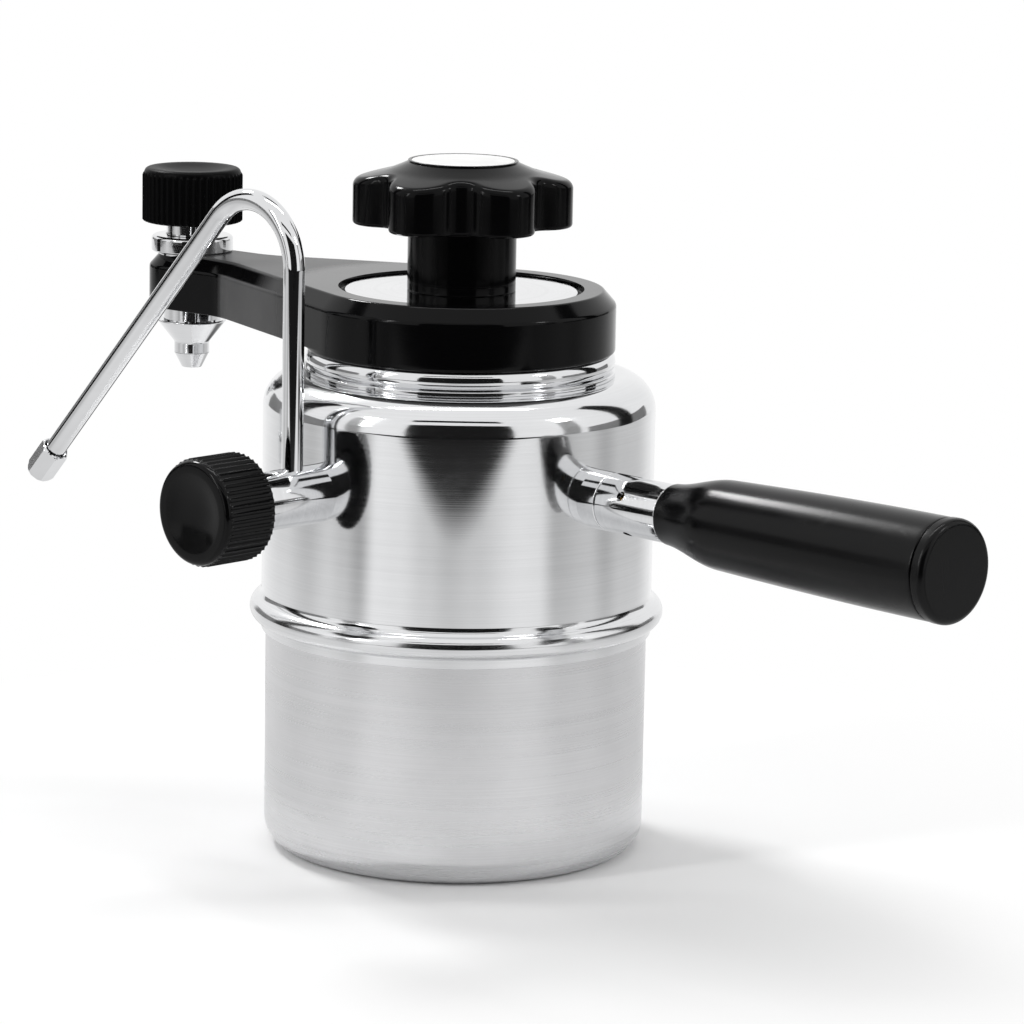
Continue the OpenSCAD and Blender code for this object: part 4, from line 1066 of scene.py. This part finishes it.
# The world lights the object with less than the white that is seen in it
WORLD_LIGHT, WORLD_SEEN = 0.44, 1.0
world = bpy.data.worlds.new("studio")
world.use_nodes = True
scene.world = world
sky = Nodes(world.node_tree)
lights = []
for strength in (WORLD_LIGHT, WORLD_SEEN):
    light = sky.node("ShaderNodeBackground")
    sky.put(light.inputs[0], (1, 1, 1))
    sky.put(light.inputs[1], strength)
    lights.append(light.outputs[0])
sky.link(sky.mixed(sky.seen(), *lights), sky.node("ShaderNodeOutputWorld").inputs[0])


def lamp(name, place, aim, width, height, watts):
    """A rectangular lamp, its place, aim and size in millimetres."""
    data = bpy.data.lights.new(name, "AREA")
    data.shape, data.size, data.size_y = "RECTANGLE", width * MM, height * MM
    data.energy = watts
    made = bpy.data.objects.new(name, data)
    made.location = Vector(place) * MM
    made.rotation_mode = "QUATERNION"
    made.rotation_quaternion = (Vector(aim) - Vector(place)).to_track_quat("-Z", "Y")
    scene.collection.objects.link(made)


LAMP_AIM = (15, 0, 95)
lamp("left_box", spot(-1000, 620, 700), LAMP_AIM, 130, 620, 3.6)
lamp("right_box", spot(1100, 420, 700), LAMP_AIM, 130, 620, 3.2)
lamp("top_box", spot(0, -100, 1300), LAMP_AIM, 900, 90, 3.6)
lamp("grip_box", spot(-586, -690, 1030), LAMP_AIM, 300, 210, 7.5)

# Camera, as solved from the photo: it looks down by the pitch at the aim. Lengths are in
# millimetres, apart from the nearest and farthest distance that it shows, in metres.
LENS, SENSOR_WIDTH = 164.92, 36
PITCH, ROLL = math.radians(11.14), math.radians(1.06)
CAMERA_AIM = Vector((10.04, 10.04, 88.62))
CAMERA_REACH = 1228.15
NEAREST, FARTHEST = 0.05, 30

camera_data = bpy.data.cameras.new("camera")
camera_data.sensor_width = SENSOR_WIDTH
camera_data.lens = LENS
camera_data.clip_start, camera_data.clip_end = NEAREST, FARTHEST
camera = bpy.data.objects.new("camera", camera_data)
forward = -TOWARD * math.cos(PITCH) - Vector((0, 0, math.sin(PITCH)))
level_up = RIGHT.cross(forward)
side = RIGHT * math.cos(ROLL) + level_up * math.sin(ROLL)
rise = level_up * math.cos(ROLL) - RIGHT * math.sin(ROLL)
turn = Matrix((side, rise, -forward)).transposed()
place = CAMERA_AIM - forward * CAMERA_REACH
camera.matrix_world = Matrix.Translation(place * MM) @ turn.to_4x4()
scene.collection.objects.link(camera)
scene.camera = camera

scene.view_settings.view_transform = "Standard"
